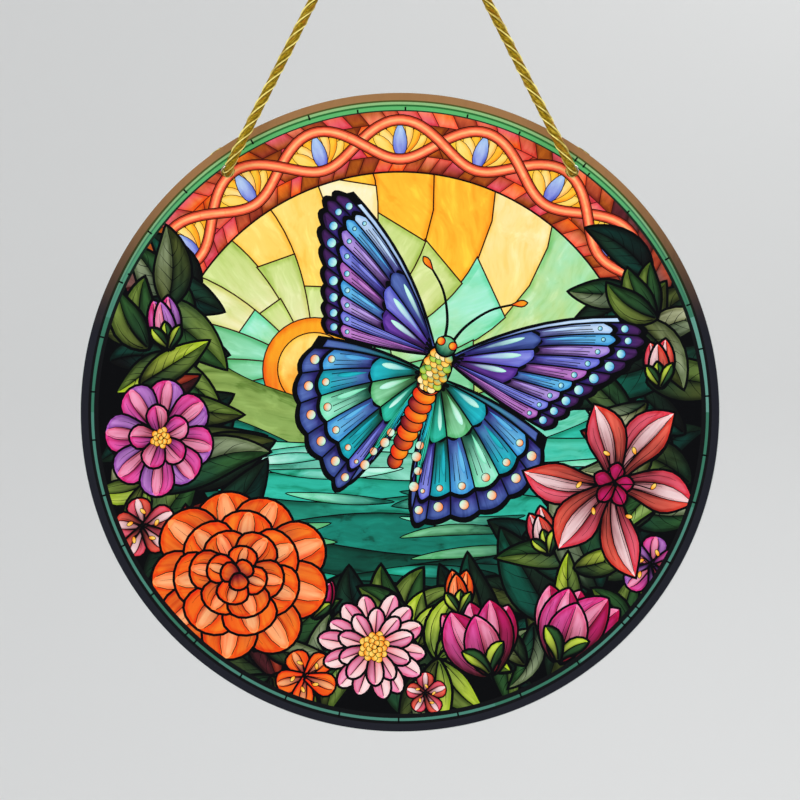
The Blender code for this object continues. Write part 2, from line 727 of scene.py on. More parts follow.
def piece(name: str, mesh: Mesh, finish: Material) -> Object:
    """Put a mesh into the scene.

    Args:
        name: the piece's name.
        mesh: its mesh.
        finish: its material.

    Returns:
        The new piece.
    """
    made = bpy.data.objects.new(name, mesh)
    mesh.materials.append(finish)
    bpy.context.scene.collection.objects.link(made)
    return made


def store(mesh: Mesh, name: str, values: Array) -> None:
    """Store a vector or a colour for every corner of a mesh's faces.

    Args:
        mesh: the mesh.
        name: what shaders call the values.
        values: three numbers each for vectors, or four for colours.
    """
    kind, key = ("FLOAT_COLOR", "color") if values.shape[-1] == 4 else ("FLOAT_VECTOR", "vector")
    data = mesh.attributes.new(name, kind, "CORNER").data
    data.foreach_set(key, values.astype(np.float32).ravel())


# ---- The printed picture ----


class Layer(Enum):
    """The films of ink that the picture is printed in."""

    RIM = "printed_rim"
    ARCH = "printed_arch"
    SKY = "printed_sky"
    LAKE = "printed_lake"
    LEAVES = "printed_leaves"
    BLOSSOMS = "printed_blossoms"
    BUTTERFLY = "printed_butterfly"
    LEAD = "printed_lead_lines"


@dataclass(frozen=True)
class Place:
    """Where a motif stands in the picture: its turn is in degrees, and a negative squeeze mirrors it."""

    origin: complex = 0j
    turn: float = 0.0
    squeeze: float = 1.0
    size: float = 1.0

    def put(self, spots: Array | complex) -> Array | complex:
        """The motif's own spots as spots of the picture."""
        return self.origin + (spots.real * self.squeeze + 1j * spots.imag) * polar(self.size, self.turn)


@dataclass(frozen=True)
class Pane:
    """One filled outline, whose colour runs from a root to a tip."""

    layer: Layer
    outline: Array
    tints: Tints
    root: complex
    tip: complex

    @property
    def half_width(self) -> float:
        """How far the pane reaches to the side of its grain."""
        way = self.tip - self.root
        return float(np.abs(((self.outline - self.root) * np.conj(way)).imag).max() / abs(way))


@dataclass
class Picture:
    """The printed picture: panes in painter's order, cut into films of ink that don't overlap.

    The disc's centre and the depth of its front face are in metres, and the rest is in millimetres.
    """

    centre: Vector
    face: float
    # The outlines of the drilled holes, which stay unprinted.
    holes: list[Array]
    radius: float = 74.75
    # How far the ink stands off the face, in metres.
    film_gap: float = 0.00002
    # The area of the smallest sliver that is printed.
    least_area: float = 1e-6
    # How many tests of a spot against an edge are done at a time.
    most_tests: int = 2_000_000
    # The longest edge that is left out where panes above it hide it.
    longest_hidden: float = 2.5
    # The widest and the narrowest hem in which a pane's colour deepens.
    deepest_inset: float = 1.5
    least_inset: float = 0.15
    panes: list[Pane] = field(default_factory=list)
    places: list[Place] = field(default_factory=list)
    luck: random.Random = field(default_factory=lambda: random.Random(11))

    @contextmanager
    def at(self, place: Place) -> Iterator[None]:
        """Stand what is painted meanwhile at a place.

        Args:
            place: where it stands.
        """
        self.places.append(place)
        yield
        self.places.pop()

    def pane(
        self, layer: Layer, outline: Array, tints: Tints, grain: Grain | None = None, lead: float = 0.0,
        ink: Tint = Tint.BLACK,
    ) -> None:
        """Paint a pane over what is there.

        Args:
            layer: the film that it belongs to.
            outline: its corners in order.
            tints: its colours at the root and at the tip.
            grain: the root and the tip, or None for the first corner and the one halfway round.
            lead: how far a dark line stands out round it.
            ink: the colour of that line.
        """
        root, tip = grain or (complex(outline[0]), complex(outline[len(outline) // 2]))
        for place in reversed(self.places):
            outline, root, tip = place.put(outline), place.put(root), place.put(tip)
        outline = distinct(outline)
        if lead:
            self.panes.append(Pane(Layer.LEAD, grown(outline, lead), (ink, ink), root, tip))
        self.panes.append(Pane(layer, outline, tints, root, tip))

    def ground(self, outline: Array, lead: float, ink: Tint = Tint.BLACK) -> None:
        """Paint a dark ground that stands out round an outline."""
        self.pane(Layer.LEAD, grown(outline, lead), (ink, ink))

    def stroke(self, line: Array, start: float, end: float, ink: Tint = Tint.BLACK) -> None:
        """Paint a dark line that runs from one width to another."""
        self.pane(Layer.LEAD, ribbon(line, start, end), (ink, ink))

    def blade(
        self, layer: Layer, blade: Blade, cells: Sequence[Tints], lead: float = 0.3, veins: int = 0,
        ink: Tint = Tint.BLACK,
    ) -> None:
        """Paint a blade, parted lengthwise into cells by thin lines.

        Args:
            layer: the film that it belongs to.
            blade: its shape.
            cells: the root and tip tints of each cell, from right to left.
            lead: how far the dark line stands out round it.
            veins: how many fine lines run out from its root.
            ink: the colour of its lines.
        """
        grain = (blade.base, blade.tip)
        self.ground(blade.cell(), lead, ink)
        cuts = np.linspace(-1.0, 1.0, len(cells) + 1)
        for low, high, tints in zip(cuts, cuts[1:], cells):
            self.pane(layer, blade.cell(low, high), tints, grain)
        for cut in cuts[1:-1]:
            self.stroke(blade.line(cut, 0.02, 0.95), 0.44, 0.16, ink)
        for number in range(veins):
            across = (number + 0.5) / veins * 1.8 - 0.9 + self.luck.uniform(-0.08, 0.08)
            end = self.luck.uniform(0.55, 0.92)
            self.stroke(blade.line(across, 0.05, end), 0.24, 0.05, ink)

    @staticmethod
    def inside(spots: Array, outline: Array) -> Array:
        """Test which spots an outline goes round.

        Args:
            spots: the spots.
            outline: the outline's corners in order.

        Returns:
            Whether each spot is inside.
        """
        a = outline[None, :] - spots[:, None]
        b = np.roll(outline, -1)[None, :] - spots[:, None]
        left = a.real * b.imag > a.imag * b.real
        up = (a.imag <= 0) & (b.imag > 0) & left
        down = (a.imag > 0) & (b.imag <= 0) & ~left
        return up.sum(axis=1) != down.sum(axis=1)

    def claim(self, spots: Array, free: Array, outline: Array) -> Array:
        """Take the free spots that an outline goes round.

        Args:
            spots: the spots, from left to right.
            free: whether each is free yet, which is cleared where it is taken.
            outline: the outline.

        Returns:
            The numbers of the spots taken.
        """
        first, last = np.searchsorted(spots.real, (outline.real.min(), outline.real.max()))
        height = spots.imag[first:last]
        fits = free[first:last] & (height > outline.imag.min()) & (height < outline.imag.max())
        near = first + np.flatnonzero(fits)
        share = max(1, self.most_tests // len(outline))
        batches = np.split(near, range(share, len(near), share))
        taken = np.concatenate([batch[self.inside(spots[batch], outline)] for batch in batches])
        free[taken] = False
        return taken

    def inset(self, pane: Pane) -> float:
        """Work out how wide the hem is in which a pane's colour deepens.

        Args:
            pane: the pane.

        Returns:
            The hem's width, or 0 where the pane has none.
        """
        if pane.layer in (Layer.LEAD, Layer.RIM):
            return 0.0
        after = np.roll(pane.outline, -1)
        area = abs((np.conj(pane.outline) * after).imag.sum()) / 2
        depth = min(self.deepest_inset, area / np.abs(after - pane.outline).sum())
        return float(depth) if depth > self.least_inset else 0.0

    def loops(self) -> list[tuple[int, Array]]:
        """Gather the closed lines along which the disc is cut.

        Returns:
            Each line after the number of its pane, which is -1 for the disc's edge and the holes.
        """
        loops = [(-1, disc(self.radius, 240)), *((-1, hole) for hole in self.holes)]
        for number, pane in enumerate(self.panes):
            loops.append((number, pane.outline))
            if self.inset(pane):
                loops.append((number, grown(pane.outline, -self.inset(pane))))
        return loops

    def edges(self) -> tuple[Array, Array]:
        """Gather the edges of the closed lines that no pane above them hides.

        Returns:
            The corners, and the edges as pairs of corner numbers.
        """
        ranks, lines = zip(*self.loops())
        corners = np.concatenate(lines)
        counts = [len(line) for line in lines]
        rank = np.repeat(ranks, counts)
        ends = np.cumsum(counts)
        after = np.arange(1, len(corners) + 1)
        after[ends - 1] = np.concatenate([[0], ends[:-1]])
        # An edge is tested at its start and at its middle, and its end is the start of the next one.
        spots = np.stack([corners, (corners + corners[after]) / 2], axis=1).ravel()
        order = np.argsort(spots.real)
        place = np.argsort(order).reshape(-1, 2)
        spots = spots[order]
        free = np.ones(len(spots), dtype=bool)
        free[place[rank < 0]] = False
        covered = np.zeros(len(spots), dtype=bool)
        starts = np.searchsorted(rank, np.arange(len(self.panes) + 1))
        # From the topmost pane down, a pane's own edges are done with before it covers those below it.
        for number in reversed(range(len(self.panes))):
            free[place[starts[number] : starts[number + 1]]] = False
            covered[self.claim(spots, free, self.panes[number].outline)] = True
        start, middle = covered[place].T
        short = np.abs(corners - corners[after]) < self.longest_hidden
        kept = np.flatnonzero(~(start & middle & start[after] & short))
        used, edges = np.unique(np.stack([kept, after[kept]], axis=1), return_inverse=True)
        return corners[used], edges.reshape(-1, 2)

    def partition(self) -> tuple[Array, Array, Array]:
        """Cut the disc along every outline.

        Returns:
            The corners, the triangles as corner numbers, and the topmost pane of each triangle.
        """
        spots, edges = self.edges()
        places = [Vector((spot.real, spot.imag)) for spot in spots]
        cut = delaunay_2d_cdt(places, edges.tolist(), [], 0, 1e-4, False)
        corners = np.array([complex(*spot) for spot in cut[0]])
        faces = np.array(cut[2])
        a, b, c = corners[faces].T
        middles = (a + b + c) / 3
        area = (np.conj(b - a) * (c - a)).imag / 2
        order = np.argsort(middles.real)
        faces, middles, area = faces[order], middles[order], area[order]
        free = (np.abs(middles) < self.radius - 0.01) & (area > self.least_area)
        for hole in self.holes:
            self.claim(middles, free, hole)
        owner = np.full(len(faces), -1)
        for number in reversed(range(len(self.panes))):
            owner[self.claim(middles, free, self.panes[number].outline)] = number
        return corners, faces, owner

    def build(self, finishes: dict[Layer, Material]) -> list[Object]:
        """Make the films.

        Args:
            finishes: the material of each.

        Returns:
            The film pieces.
        """
        corners, faces, owner = self.partition()
        layers = np.array([list(Layer).index(pane.layer) for pane in self.panes] + [-1])
        films = []
        for number, layer in enumerate(Layer):
            mine = layers[owner] == number
            if mine.any():
                mesh = self.film(layer.value, corners, faces[mine], owner[mine])
                films.append(piece(layer.value, mesh, finishes[layer]))
        return films

    def film(self, name: str, corners: Array, faces: Array, owner: Array) -> Mesh:
        """Make the mesh of one film, with what its ink reads of the panes.

        Args:
            name: the mesh's name.
            corners: the spots of the whole partition.
            faces: this film's triangles.
            owner: the pane of each.

        Returns:
            The mesh.
        """
        used, local = np.unique(faces, return_inverse=True)
        spots = corners[used]
        x = self.centre.x + spots.real * MM
        z = self.centre.z + spots.imag * MM
        mesh = bpy.data.meshes.new(name)
        vertices = np.stack([x, np.full(len(x), self.face - self.film_gap), z], axis=1)
        mesh.from_pydata(vertices.tolist(), [], local.reshape(-1, 3).tolist())
        number, mine = np.unique(owner, return_inverse=True)
        panes = [self.panes[each] for each in number]
        rows = zip(*((pane.root, pane.tip - pane.root, pane.half_width) for pane in panes))
        root, way, half = (np.array(row)[mine][:, None] for row in rows)
        # Every pane reads its glass at a depth of its own, so that no two panes look alike.
        seed = (owner * 7.31 % 97.0)[:, None] + np.zeros((1, 3))
        offset = (corners[faces] - root) * np.conj(way) / np.abs(way)
        depth = self.depths(panes, mine, corners[faces])
        store(mesh, "Cell", np.stack([offset.real / np.abs(way), offset.imag / half, depth], axis=-1))
        store(mesh, "Grain", np.stack([offset.real, offset.imag, seed], axis=-1))
        for end, key in enumerate(("Root", "Tip")):
            tints = np.array([(*pane.tints[end].linear, 1.0) for pane in panes])[mine]
            store(mesh, key, np.repeat(tints, 3, axis=0))
        flat = np.stack([(axis - axis.min()) / np.ptp(axis) for axis in (spots.real, spots.imag)], axis=1)
        layout = mesh.uv_layers.new(name="OFBake")
        layout.data.foreach_set("uv", flat[local.ravel()].astype(np.float32).ravel())
        return mesh

    def depths(self, panes: list[Pane], mine: Array, spots: Array) -> Array:
        """Work out how deep inside its pane each corner of a film's triangles lies.

        Args:
            panes: the film's panes.
            mine: the pane of each triangle.
            spots: the triangles' corners, a row each.

        Returns:
            The depths, from 0 at the pane's outline to 1 where its colour is full.
        """
        depths = np.ones(spots.shape)
        order = np.argsort(mine, kind="stable")
        starts = np.searchsorted(mine[order], np.arange(len(panes) + 1))
        for number, pane in enumerate(panes):
            inset = self.inset(pane)
            rows = order[starts[number] : starts[number + 1]]
            if inset:
                way = (np.roll(pane.outline, -1) - pane.outline)[None, None, :]
                offset = spots[rows][:, :, None] - pane.outline[None, None, :]
                share = np.clip((offset * np.conj(way)).real / np.abs(way) ** 2, 0.0, 1.0)
                depths[rows] = np.minimum(np.abs(offset - share * way).min(axis=2) / inset, 1.0)
        return depths


# ---- The motifs ----


@dataclass(frozen=True)
class Motif:
    """Something that is painted into the picture."""

    picture: Picture


@dataclass(frozen=True)
class RimBand(Motif):
    """The printed rim and the green glass ring inside it, light over the top and dark below."""

    # Each band's radius over the top and below, and its tint below and over the top.
    bands: tuple[tuple[float, float, Tint, Tint], ...] = (
        (76.0, 76.0, Tint.NAVY, Tint.TAN),
        (73.05, 73.0, Tint.BLACK, Tint.OLIVE),
        (72.65, 72.3, Tint.GLASS, Tint.CELADON),
        (72.05, 72.1, Tint.GLASS, Tint.GRASS),
        (71.6, 71.9, Tint.GLASS, Tint.CLOVER),
        (70.75, 71.65, Tint.BLACK, Tint.FOREST),
        (70.45, 70.6, Tint.BLACK, Tint.FOREST),
    )
    # The ring's glass below is one of these, from one stretch of it to the next.
    glass: tuple[Tint, ...] = named("glass sea_glass glass bottle_glass")
    # The heights between which the tint below turns into the one over the top.
    grain: Grain = (20j, 60j)
    steps: int = 240
    stretch: int = 12
    # The radii between which a joint of the ring runs: below, and either of two over the top.
    low_joint: Span = (71.4, 72.7)
    top_joints: tuple[Span, ...] = ((70.7, 71.5), (71.5, 72.7))
    joint_width: float = 0.4
    # How far apart in degrees the joints are, and how far where two stand close together.
    joint_gaps: Span = (8.5, 12.5)
    close_gaps: Span = (1.6, 2.4)
    close_share: float = 0.12

    def circle(self, top: float, low: float) -> Array:
        """Make a closed line round the disc.

        Args:
            top: its radius over the top.
            low: its radius from the sides down.

        Returns:
            The line.
        """
        turn = np.linspace(0.0, math.tau, self.steps + 1)
        crown = np.clip(np.sin(turn) * 1.25 - 0.1, 0.0, 1.0)
        return (low + (top - low) * crown) * np.exp(1j * turn)

    def paint(self) -> None:
        """Paint the bands from the outside in, a stretch at a time, then the ring's joints."""
        circles = [self.circle(top, low) for top, low, *_ in self.bands]
        for start in range(0, self.steps, self.stretch):
            glass = self.picture.luck.choice(self.glass)
            span = slice(start, start + self.stretch + 1)
            for (*_, below, above), outer, inner in zip(self.bands, circles, circles[1:]):
                below = glass if below is Tint.GLASS else below
                self.picture.pane(Layer.RIM, between(outer[span], inner[span]), (below, above), self.grain)
        self.paint_joints()

    def paint_joints(self) -> None:
        """Paint the lead lines across the ring."""
        degrees = 3.0
        while degrees < 362.0:
            over_top = math.sin(math.radians(degrees)) > 0.3
            low, high = self.picture.luck.choice(self.top_joints) if over_top else self.low_joint
            line = np.array([polar(low, degrees), polar(high, degrees)])
            self.picture.stroke(line, self.joint_width, self.joint_width)
            close = self.picture.luck.random() < self.close_share
            degrees += self.picture.luck.uniform(*(self.close_gaps if close else self.joint_gaps))


@dataclass(frozen=True)
class Sunburst(Motif):
    """A low sun, in a sky of curved rays that are broken into panes."""

    centre: complex = -20 + 10j
    rays: int = 19
    # How many degrees a ray has turned where it is 60 mm long.
    swirl: float = 26.0
    # How far each round of panes reaches, and how far out it is sampled for its tints.
    rounds: tuple[Span, ...] = ((100.0, 54.0), (42.0, 32.0), (23.0, 17.0))
    ragged: float = 6.0
    # The tints of a pane whose middle is above a level, from the highest down.
    levels: tuple[tuple[float, Tints], ...] = (
        (47.0, named("gold amber")),
        (40.0, named("gold honey")),
        (33.0, named("honey cream")),
        (25.0, named("cream pear")),
        (15.0, named("pear mint")),
        (5.0, named("mint jade")),
        (-99.0, named("jade sea")),
    )
    # The radius and tints of the sun's outer and inner disc.
    suns: tuple[tuple[float, Tints], ...] = ((12.0, named("orange amber")), (8.5, named("amber honey")))
    ray_lead: float = 0.34
    sun_lead: float = 0.3

    def edge(self, degrees: float, reach: float) -> Array:
        """The side of a ray, from the sun's middle out to a reach."""
        out = np.linspace(0.5, reach, 14)
        return self.centre + out * np.exp(1j * np.radians(degrees + self.swirl * (out / 60) ** 2))

    def paint(self) -> None:
        """Paint the rays from the outer panes in, then the sun."""
        for reach, middle in self.rounds:
            for number in range(self.rays):
                self.paint_pane(number, reach, middle)
        for radius, tints in self.suns:
            sun = self.centre + disc(radius, 40)
            grain = (self.centre - 1j * radius, self.centre + 1j * radius)
            self.picture.pane(Layer.SKY, sun, tints, grain, self.sun_lead, Tint.UMBER)

    def paint_pane(self, number: int, reach: float, middle: float) -> None:
        """Paint one pane of a ray, over the farther ones and under the nearer ones.

        Args:
            number: the ray's number.
            reach: how far out its round of panes goes.
            middle: how far out the pane is sampled for its tints.
        """
        step = 360 / self.rays
        degrees = number * step
        outermost = reach == self.rounds[0][0]
        far = reach + self.picture.luck.uniform(-self.ragged, self.ragged) * (not outermost)
        near, next_one = self.edge(degrees, far), self.edge(degrees + step, far)
        spot = self.edge(degrees + step / 2, middle + self.picture.luck.uniform(-4.0, 4.0))[-1]
        tints = next(tints for level, tints in self.levels if spot.imag > level)
        grain = (self.centre, complex(near[-1] + next_one[-1]) / 2)
        self.picture.pane(Layer.SKY, between(near, next_one), tints, grain, self.ray_lead, Tint.UMBER)


@dataclass(frozen=True)
class Shore(Motif):
    """Hills along the far shore, and a lake of long waves with ripples over them."""

    # Each hill's crest, and its tints from the left foot to the right.
    hills: tuple[tuple[tuple[complex, ...], Tints], ...] = (
        ((-74 + 8j, -52 + 15j, -34 + 7j, -10 - 1j, 12 - 9j), named("moss meadow")),
        ((74 + 16j, 52 + 13j, 34 + 4j, 14 - 1j, -14 - 9j), named("sea mint")),
        ((-74 - 2j, -58 + 3j, -38 - 2j, -22 - 9j), named("bottle teal")),
        ((74 + 2j, 58 + 5j, 42 - 3j, 26 - 9j), named("teal sea")),
    )
    # Each wave's level and height, and the tints of the water below it.
    waves: tuple[tuple[float, float, Tints], ...] = (
        (-6.5, 0.6, named("mint sea")),
        (-10.5, 1.0, named("teal mint")),
        (-15.0, 1.3, named("sea teal")),
        (-20.0, 1.6, named("bottle sea")),
        (-25.5, 1.9, named("teal bottle")),
        (-31.5, 2.1, named("deep bottle")),
        (-36.5, 2.2, named("bottle deep")),
        (-42.0, 2.2, named("deep bottle")),
    )
    ripples: int = 15
    ripple_tints: Cells = pairs("ice sea, mint teal, jade bottle, sea deep")
    # The level that the hills and the water reach down to.
    floor: float = -72.0
    hill_lead: float = 0.25
    wave_lead: float = 0.3
    ripple_lead: float = 0.26

    def area(self, crest: Array) -> Array:
        """The outline of all that lies below a crest."""
        foot = np.array([crest[-1].real + 1j * self.floor, crest[0].real + 1j * self.floor])
        return np.concatenate([crest, foot])

    def paint(self) -> None:
        """Paint the hills from the far ones on, then the waves and the ripples."""
        for crest, tints in self.hills:
            grain = (crest[0] - 4j, crest[-1] - 4j)
            self.picture.pane(Layer.LAKE, self.area(smooth(crest, 8)), tints, grain, self.hill_lead)
        for rank, (level, height, tints) in enumerate(self.waves):
            across = np.linspace(-74.0, 74.0, 60)
            crest = level + height * np.sin(across / (9.0 + rank) + 2.1 * rank) + 0.02 * across * (-1) ** rank
            grain = (-60 + 1j * level, 60 + 1j * level)
            self.picture.pane(Layer.LAKE, self.area(across + 1j * crest), tints, grain, self.wave_lead)
        for number in range(self.ripples):
            self.paint_ripple(number)

    def paint_ripple(self, number: int) -> None:
        """Paint a slim ripple on the water.

        Args:
            number: its number, from the far shore down.
        """
        level = -9.0 - 33.0 * number / self.ripples
        middle = self.picture.luck.uniform(-34.0, 40.0) + 1j * level
        reach = self.picture.luck.uniform(9.0, 17.0) * cmath.exp(1j * self.picture.luck.uniform(-0.09, 0.09))
        width = self.picture.luck.uniform(1.8, 3.6)
        ripple = Blade(middle - reach, middle + reach, width, self.picture.luck.uniform(-0.05, 0.05))
        tints = self.ripple_tints[number * len(self.ripple_tints) // self.ripples]
        self.picture.blade(Layer.LAKE, ripple, [tints if number % 2 else tints[::-1]], self.ripple_lead)


@dataclass(frozen=True)
class TileArch(Motif):
    """An arch of small warm tiles, with a braid of two strands along it and amber eyes in the braid."""

    inner: float = 56.5
    outer: float = 71.2
    # The directions of its feet in degrees.
    start: float = 12.0
    end: float = 168.0
    courses: int = 4
    # How wide the tiles are, and how far a course leans, in degrees.
    tile_widths: Span = (2.6, 4.6)
    tile_slant: float = 2.0
    warm: tuple[Tint, ...] = named("coral russet salmon terracotta rose russet orange brick")
    dusky: tuple[Tint, ...] = named("maroon mauve brick maroon")
    eyes: int = 9
    eye_cells: int = 7
    eye_tints: Cells = pairs("gold honey, amber gold, peach honey")
    # How far the braid's strands swing to either side, and the width and tints of each stripe of one.
    swing: float = 4.6
    strand_width: float = 2.7
    stripes: tuple[tuple[float, Tints], ...] = (
        (2.2, named("terracotta coral")),
        (1.6, named("salmon salmon")),
        (0.8, named("apricot peach")),
    )

    def tile_tints(self, degrees: float) -> Tints:
        """Choose the tints of a tile, dusky towards the arch's feet.

        Args:
            degrees: the tile's direction.

        Returns:
            Its root tint and tip tint.
        """
        low = abs(degrees - 90) > self.picture.luck.uniform(50, 68)
        choice = self.dusky if low else self.warm
        return self.picture.luck.choice(choice), self.picture.luck.choice(choice)

    def strand(self, degrees: Array, side: int) -> Array:
        """Follow the middle line of a strand of the braid.

        Args:
            degrees: the directions of its spots.
            side: 1 for the strand that starts outwards, -1 for the other.

        Returns:
            The spots.
        """
        phase = (degrees - self.start) / (self.end - self.start) * self.eyes * math.pi
        radius = (self.inner + self.outer) / 2 + side * self.swing * np.sin(phase)
        return radius * np.exp(1j * np.radians(degrees))

    def paint(self) -> None:
        """Paint the courses of tiles, the eyes and the braid."""
        sides = [arc(self.outer, self.start, self.end, 60), arc(self.inner, self.end, self.start, 60)]
        grain = (self.inner, self.outer)
        self.picture.pane(Layer.ARCH, np.concatenate(sides), named("brick coral"), grain, 0.45)
        radii = np.linspace(self.inner, self.outer, self.courses + 1)
        for rank, (low, high) in enumerate(zip(radii, radii[1:])):
            self.paint_course(low, high, self.tile_slant if rank % 2 else -self.tile_slant)
        turns = np.linspace(self.start, self.end, self.eyes + 1)
        for number, (left, right) in enumerate(zip(turns, turns[1:])):
            self.paint_eye(left, right, bool(number % 2))
        for side in (-1, 1):
            self.paint_strand(self.start, self.end, side)
        # At every other crossing the first strand comes over again.
        for turn in turns[1:-1:2]:
            self.paint_strand(turn - 2.2, turn + 2.2, -1)

    def paint_course(self, low: float, high: float, slant: float) -> None:
        """Paint one course of slanted tiles.

        Args:
            low: its inner radius.
            high: its outer radius.
            slant: how far its tiles lean, in degrees.
        """
        degrees = self.start - 4
        while degrees < self.end + 4:
            width = self.picture.luck.uniform(*self.tile_widths)
            tints = self.tile_tints(degrees)
            if self.start < degrees < self.end - width:
                foot = arc(low, degrees, degrees + width, 4)
                head = arc(high, degrees + width + slant, degrees + slant, 4)
                grain = (polar(low, degrees + width / 2), polar(high, degrees + width / 2))
                self.picture.pane(Layer.ARCH, np.concatenate([foot, head]), tints, grain, 0.18, Tint.UMBER)
            degrees += width

    def paint_eye(self, left: float, right: float, flipped: bool) -> None:
        """Paint an eye between two crossings of the braid, as a fan of amber cells round a blue drop.

        Args:
            left: the direction of one crossing.
            right: the direction of the next.
            flipped: whether its fan opens the other way.
        """
        degrees = np.linspace(left, right, 13)
        outline = between(*(self.strand(degrees, side) for side in (-1, 1)))
        self.picture.pane(Layer.ARCH, outline, named("amber gold"), None, 0.2, Tint.UMBER)
        middle = np.array([(left + right) / 2])
        foot, head = (self.strand(middle, side)[0] for side in ((1, -1) if flipped else (-1, 1)))
        way = head - foot
        for number in range(self.eye_cells):
            place = number - self.eye_cells // 2
            tip = foot + way * 1.02 * polar(1.0, place * 16.0) * (1 - 0.035 * abs(place))
            cell = Blade(foot, tip, 2.7, belly=0.62, taper=0.7)
            self.picture.blade(Layer.ARCH, cell, [self.eye_tints[number % 3]], 0.14, 0, Tint.UMBER)
        drop = Blade(foot + way * 0.05, foot + way * 0.92, 3.2, belly=0.42, taper=0.7)
        self.picture.blade(Layer.ARCH, drop, pairs("periwinkle skylight"), 0.2, 0, Tint.UMBER)

    def paint_strand(self, start: float, end: float, side: int) -> None:
        """Paint a strand of the braid between two directions.

        Args:
            start: the first direction.
            end: the last.
            side: 1 for the strand that starts outwards, -1 for the other.
        """
        line = self.strand(np.linspace(start, end, max(7, int((end - start) / 1.2))), side)
        self.picture.stroke(line, self.strand_width, self.strand_width, Tint.UMBER)
        for width, tints in self.stripes:
            self.picture.pane(Layer.ARCH, ribbon(line, width, width), tints, (self.inner, self.outer))


@dataclass(frozen=True)
class Wing(Motif):
    """One butterfly wing: a fan of cells from a root to the outer margin.

    Its spots are given by two shares: round the fan from the leading edge, and out from the root. The
    heart and the border are the shares out where the rays start and end.
    """

    root: complex
    margin: tuple[complex, ...]
    bows: Span
    heart: float
    border: float
    heart_tints: Cells
    ray_tints: Cells
    border_tints: Tints
    edge_tints: Tints
    spot: Tint
    # The share round where the fan starts, behind the leading edge, and the share out of its inner end.
    first: float = 0.05
    hub: float = 0.06
    # How many of the rays, at the trailing edge, run in to the hub.
    long_rays: int = 2
    bulge: float = 0.03
    lead: float = 0.2

    def at(self, turn: Array | float, out: Array | float) -> Array:
        """Find spots of the wing.

        Args:
            turn: their shares round.
            out: their shares out.

        Returns:
            The spots.
        """
        edge = smooth(self.margin, 12)
        place = np.linspace(0.0, 1.0, len(edge))
        way = np.interp(turn, place, edge.real) + 1j * np.interp(turn, place, edge.imag) - self.root
        bow = self.bows[0] + (self.bows[1] - self.bows[0]) * turn
        return self.root + way * (out + 4j * bow * out * (1 - out))

    def span(self, left: float, right: float, out: float) -> float:
        """How far two spots at one share out are apart."""
        return abs(self.at(right, out) - self.at(left, out))

    def fill(self, cell: tuple[float, ...], tints: Tints, bulge: float) -> None:
        """Paint a cell, inset so that a dark line stays round it.

        Args:
            cell: its first and last share round, and its first and last share out.
            tints: its tints at the inner and at the outer end.
            bulge: how far its ends bulge outwards, as a share.
        """
        left, right, low, high = cell
        turn = np.linspace(left, right, 7)
        out = np.linspace(low, high, 8)
        swell = bulge * np.sin(np.linspace(0, np.pi, 7))
        near, far = self.at(turn, low + swell), self.at(turn, high + swell)
        sides = [near, self.at(right, out), far[::-1], self.at(left, out[::-1])]
        grain = tuple(complex(self.at((left + right) / 2, end)) for end in (low, high))
        self.picture.pane(Layer.BUTTERFLY, grown(np.concatenate(sides), -self.lead), tints, grain)

    def gleam(self, cell: tuple[float, ...], tints: Tints) -> None:
        """Paint a slim highlight along the leading side of a cell.

        Args:
            cell: the cell's first and last share round, and its first and last share out.
            tints: the highlight's tints at the inner and at the outer end.
        """
        left, right, low, high = cell
        base, tip = (complex(self.at(left + (right - left) * 0.3, end)) for end in (low, high))
        gleam = Blade(base, tip, 0.26 * self.span(left, right, high), belly=0.7, taper=0.6)
        self.picture.pane(Layer.BUTTERFLY, gleam.cell(), tints, (base, tip))

    def paint(self) -> None:
        """Paint the wing's dark ground, its leading edge, the rays, then the heart's cells."""
        rays = len(self.ray_tints)
        cuts = np.linspace(self.first, 1.0, rays + 1)
        scallop = 1 + 0.035 * np.sin(np.linspace(0, np.pi, 7))
        edge = [self.at(np.linspace(low, high, 7), scallop) for low, high in zip(cuts, cuts[1:])]
        sides = [self.at(0.0, np.linspace(0.0, 1.0, 12)), *edge, self.at(1.0, np.linspace(1.0, 0.0, 10))]
        self.picture.ground(np.concatenate(sides), 0.5)
        self.fill((0.0, 0.045, 0.04, 0.93), self.edge_tints, 0.0)
        last = rays - self.long_rays
        for number, (left, right) in enumerate(zip(cuts, cuts[1:])):
            low = self.hub if number >= last else self.heart
            self.paint_ray(left, right, low, self.ray_tints[number])
        reach = cuts[last] - cuts[0]
        for number, tints in enumerate(self.heart_tints):
            left = cuts[0] + reach * number / len(self.heart_tints)
            right = cuts[0] + reach * (number + 1) / len(self.heart_tints)
            self.fill((left, right, self.hub, self.heart), tints, self.bulge)
            self.gleam((left, right, 0.12, self.heart - 0.05), (tints[1], Tint.ICE))

    def paint_ray(self, left: float, right: float, low: float, tints: Tints) -> None:
        """Paint a ray and the border's cell beyond it, with spots, a highlight and three fine veins.

        Args:
            left: the share round where it starts.
            right: the share round where it ends.
            low: the share out where it starts.
            tints: its tints at the inner and at the outer end.
        """
        self.fill((left, right, low, self.border), tints, self.bulge)
        self.fill((left, right, self.border + 0.02, 0.985), self.border_tints, self.bulge)
        for out, share in ((0.5 + self.border / 2 + 0.01, 0.26), (self.border - 0.035, 0.15)):
            size = min(1.1, share * self.span(left, right, out))
            if size > 0.35:
                dot = complex(self.at((left + right) / 2, out)) + disc(size, 14)
                self.picture.pane(Layer.BUTTERFLY, dot, (self.spot, Tint.ICE), None, 0.15)
        self.gleam((left, right, low + 0.04, self.border - 0.12), (tints[1], tints[1]))
        for share in (0.2, 0.55, 0.78):
            out = np.linspace(self.border - 0.075, self.border - (self.border - low) * 0.7, 6)
            self.picture.stroke(self.at(left + (right - left) * share, out), 0.2, 0.06)


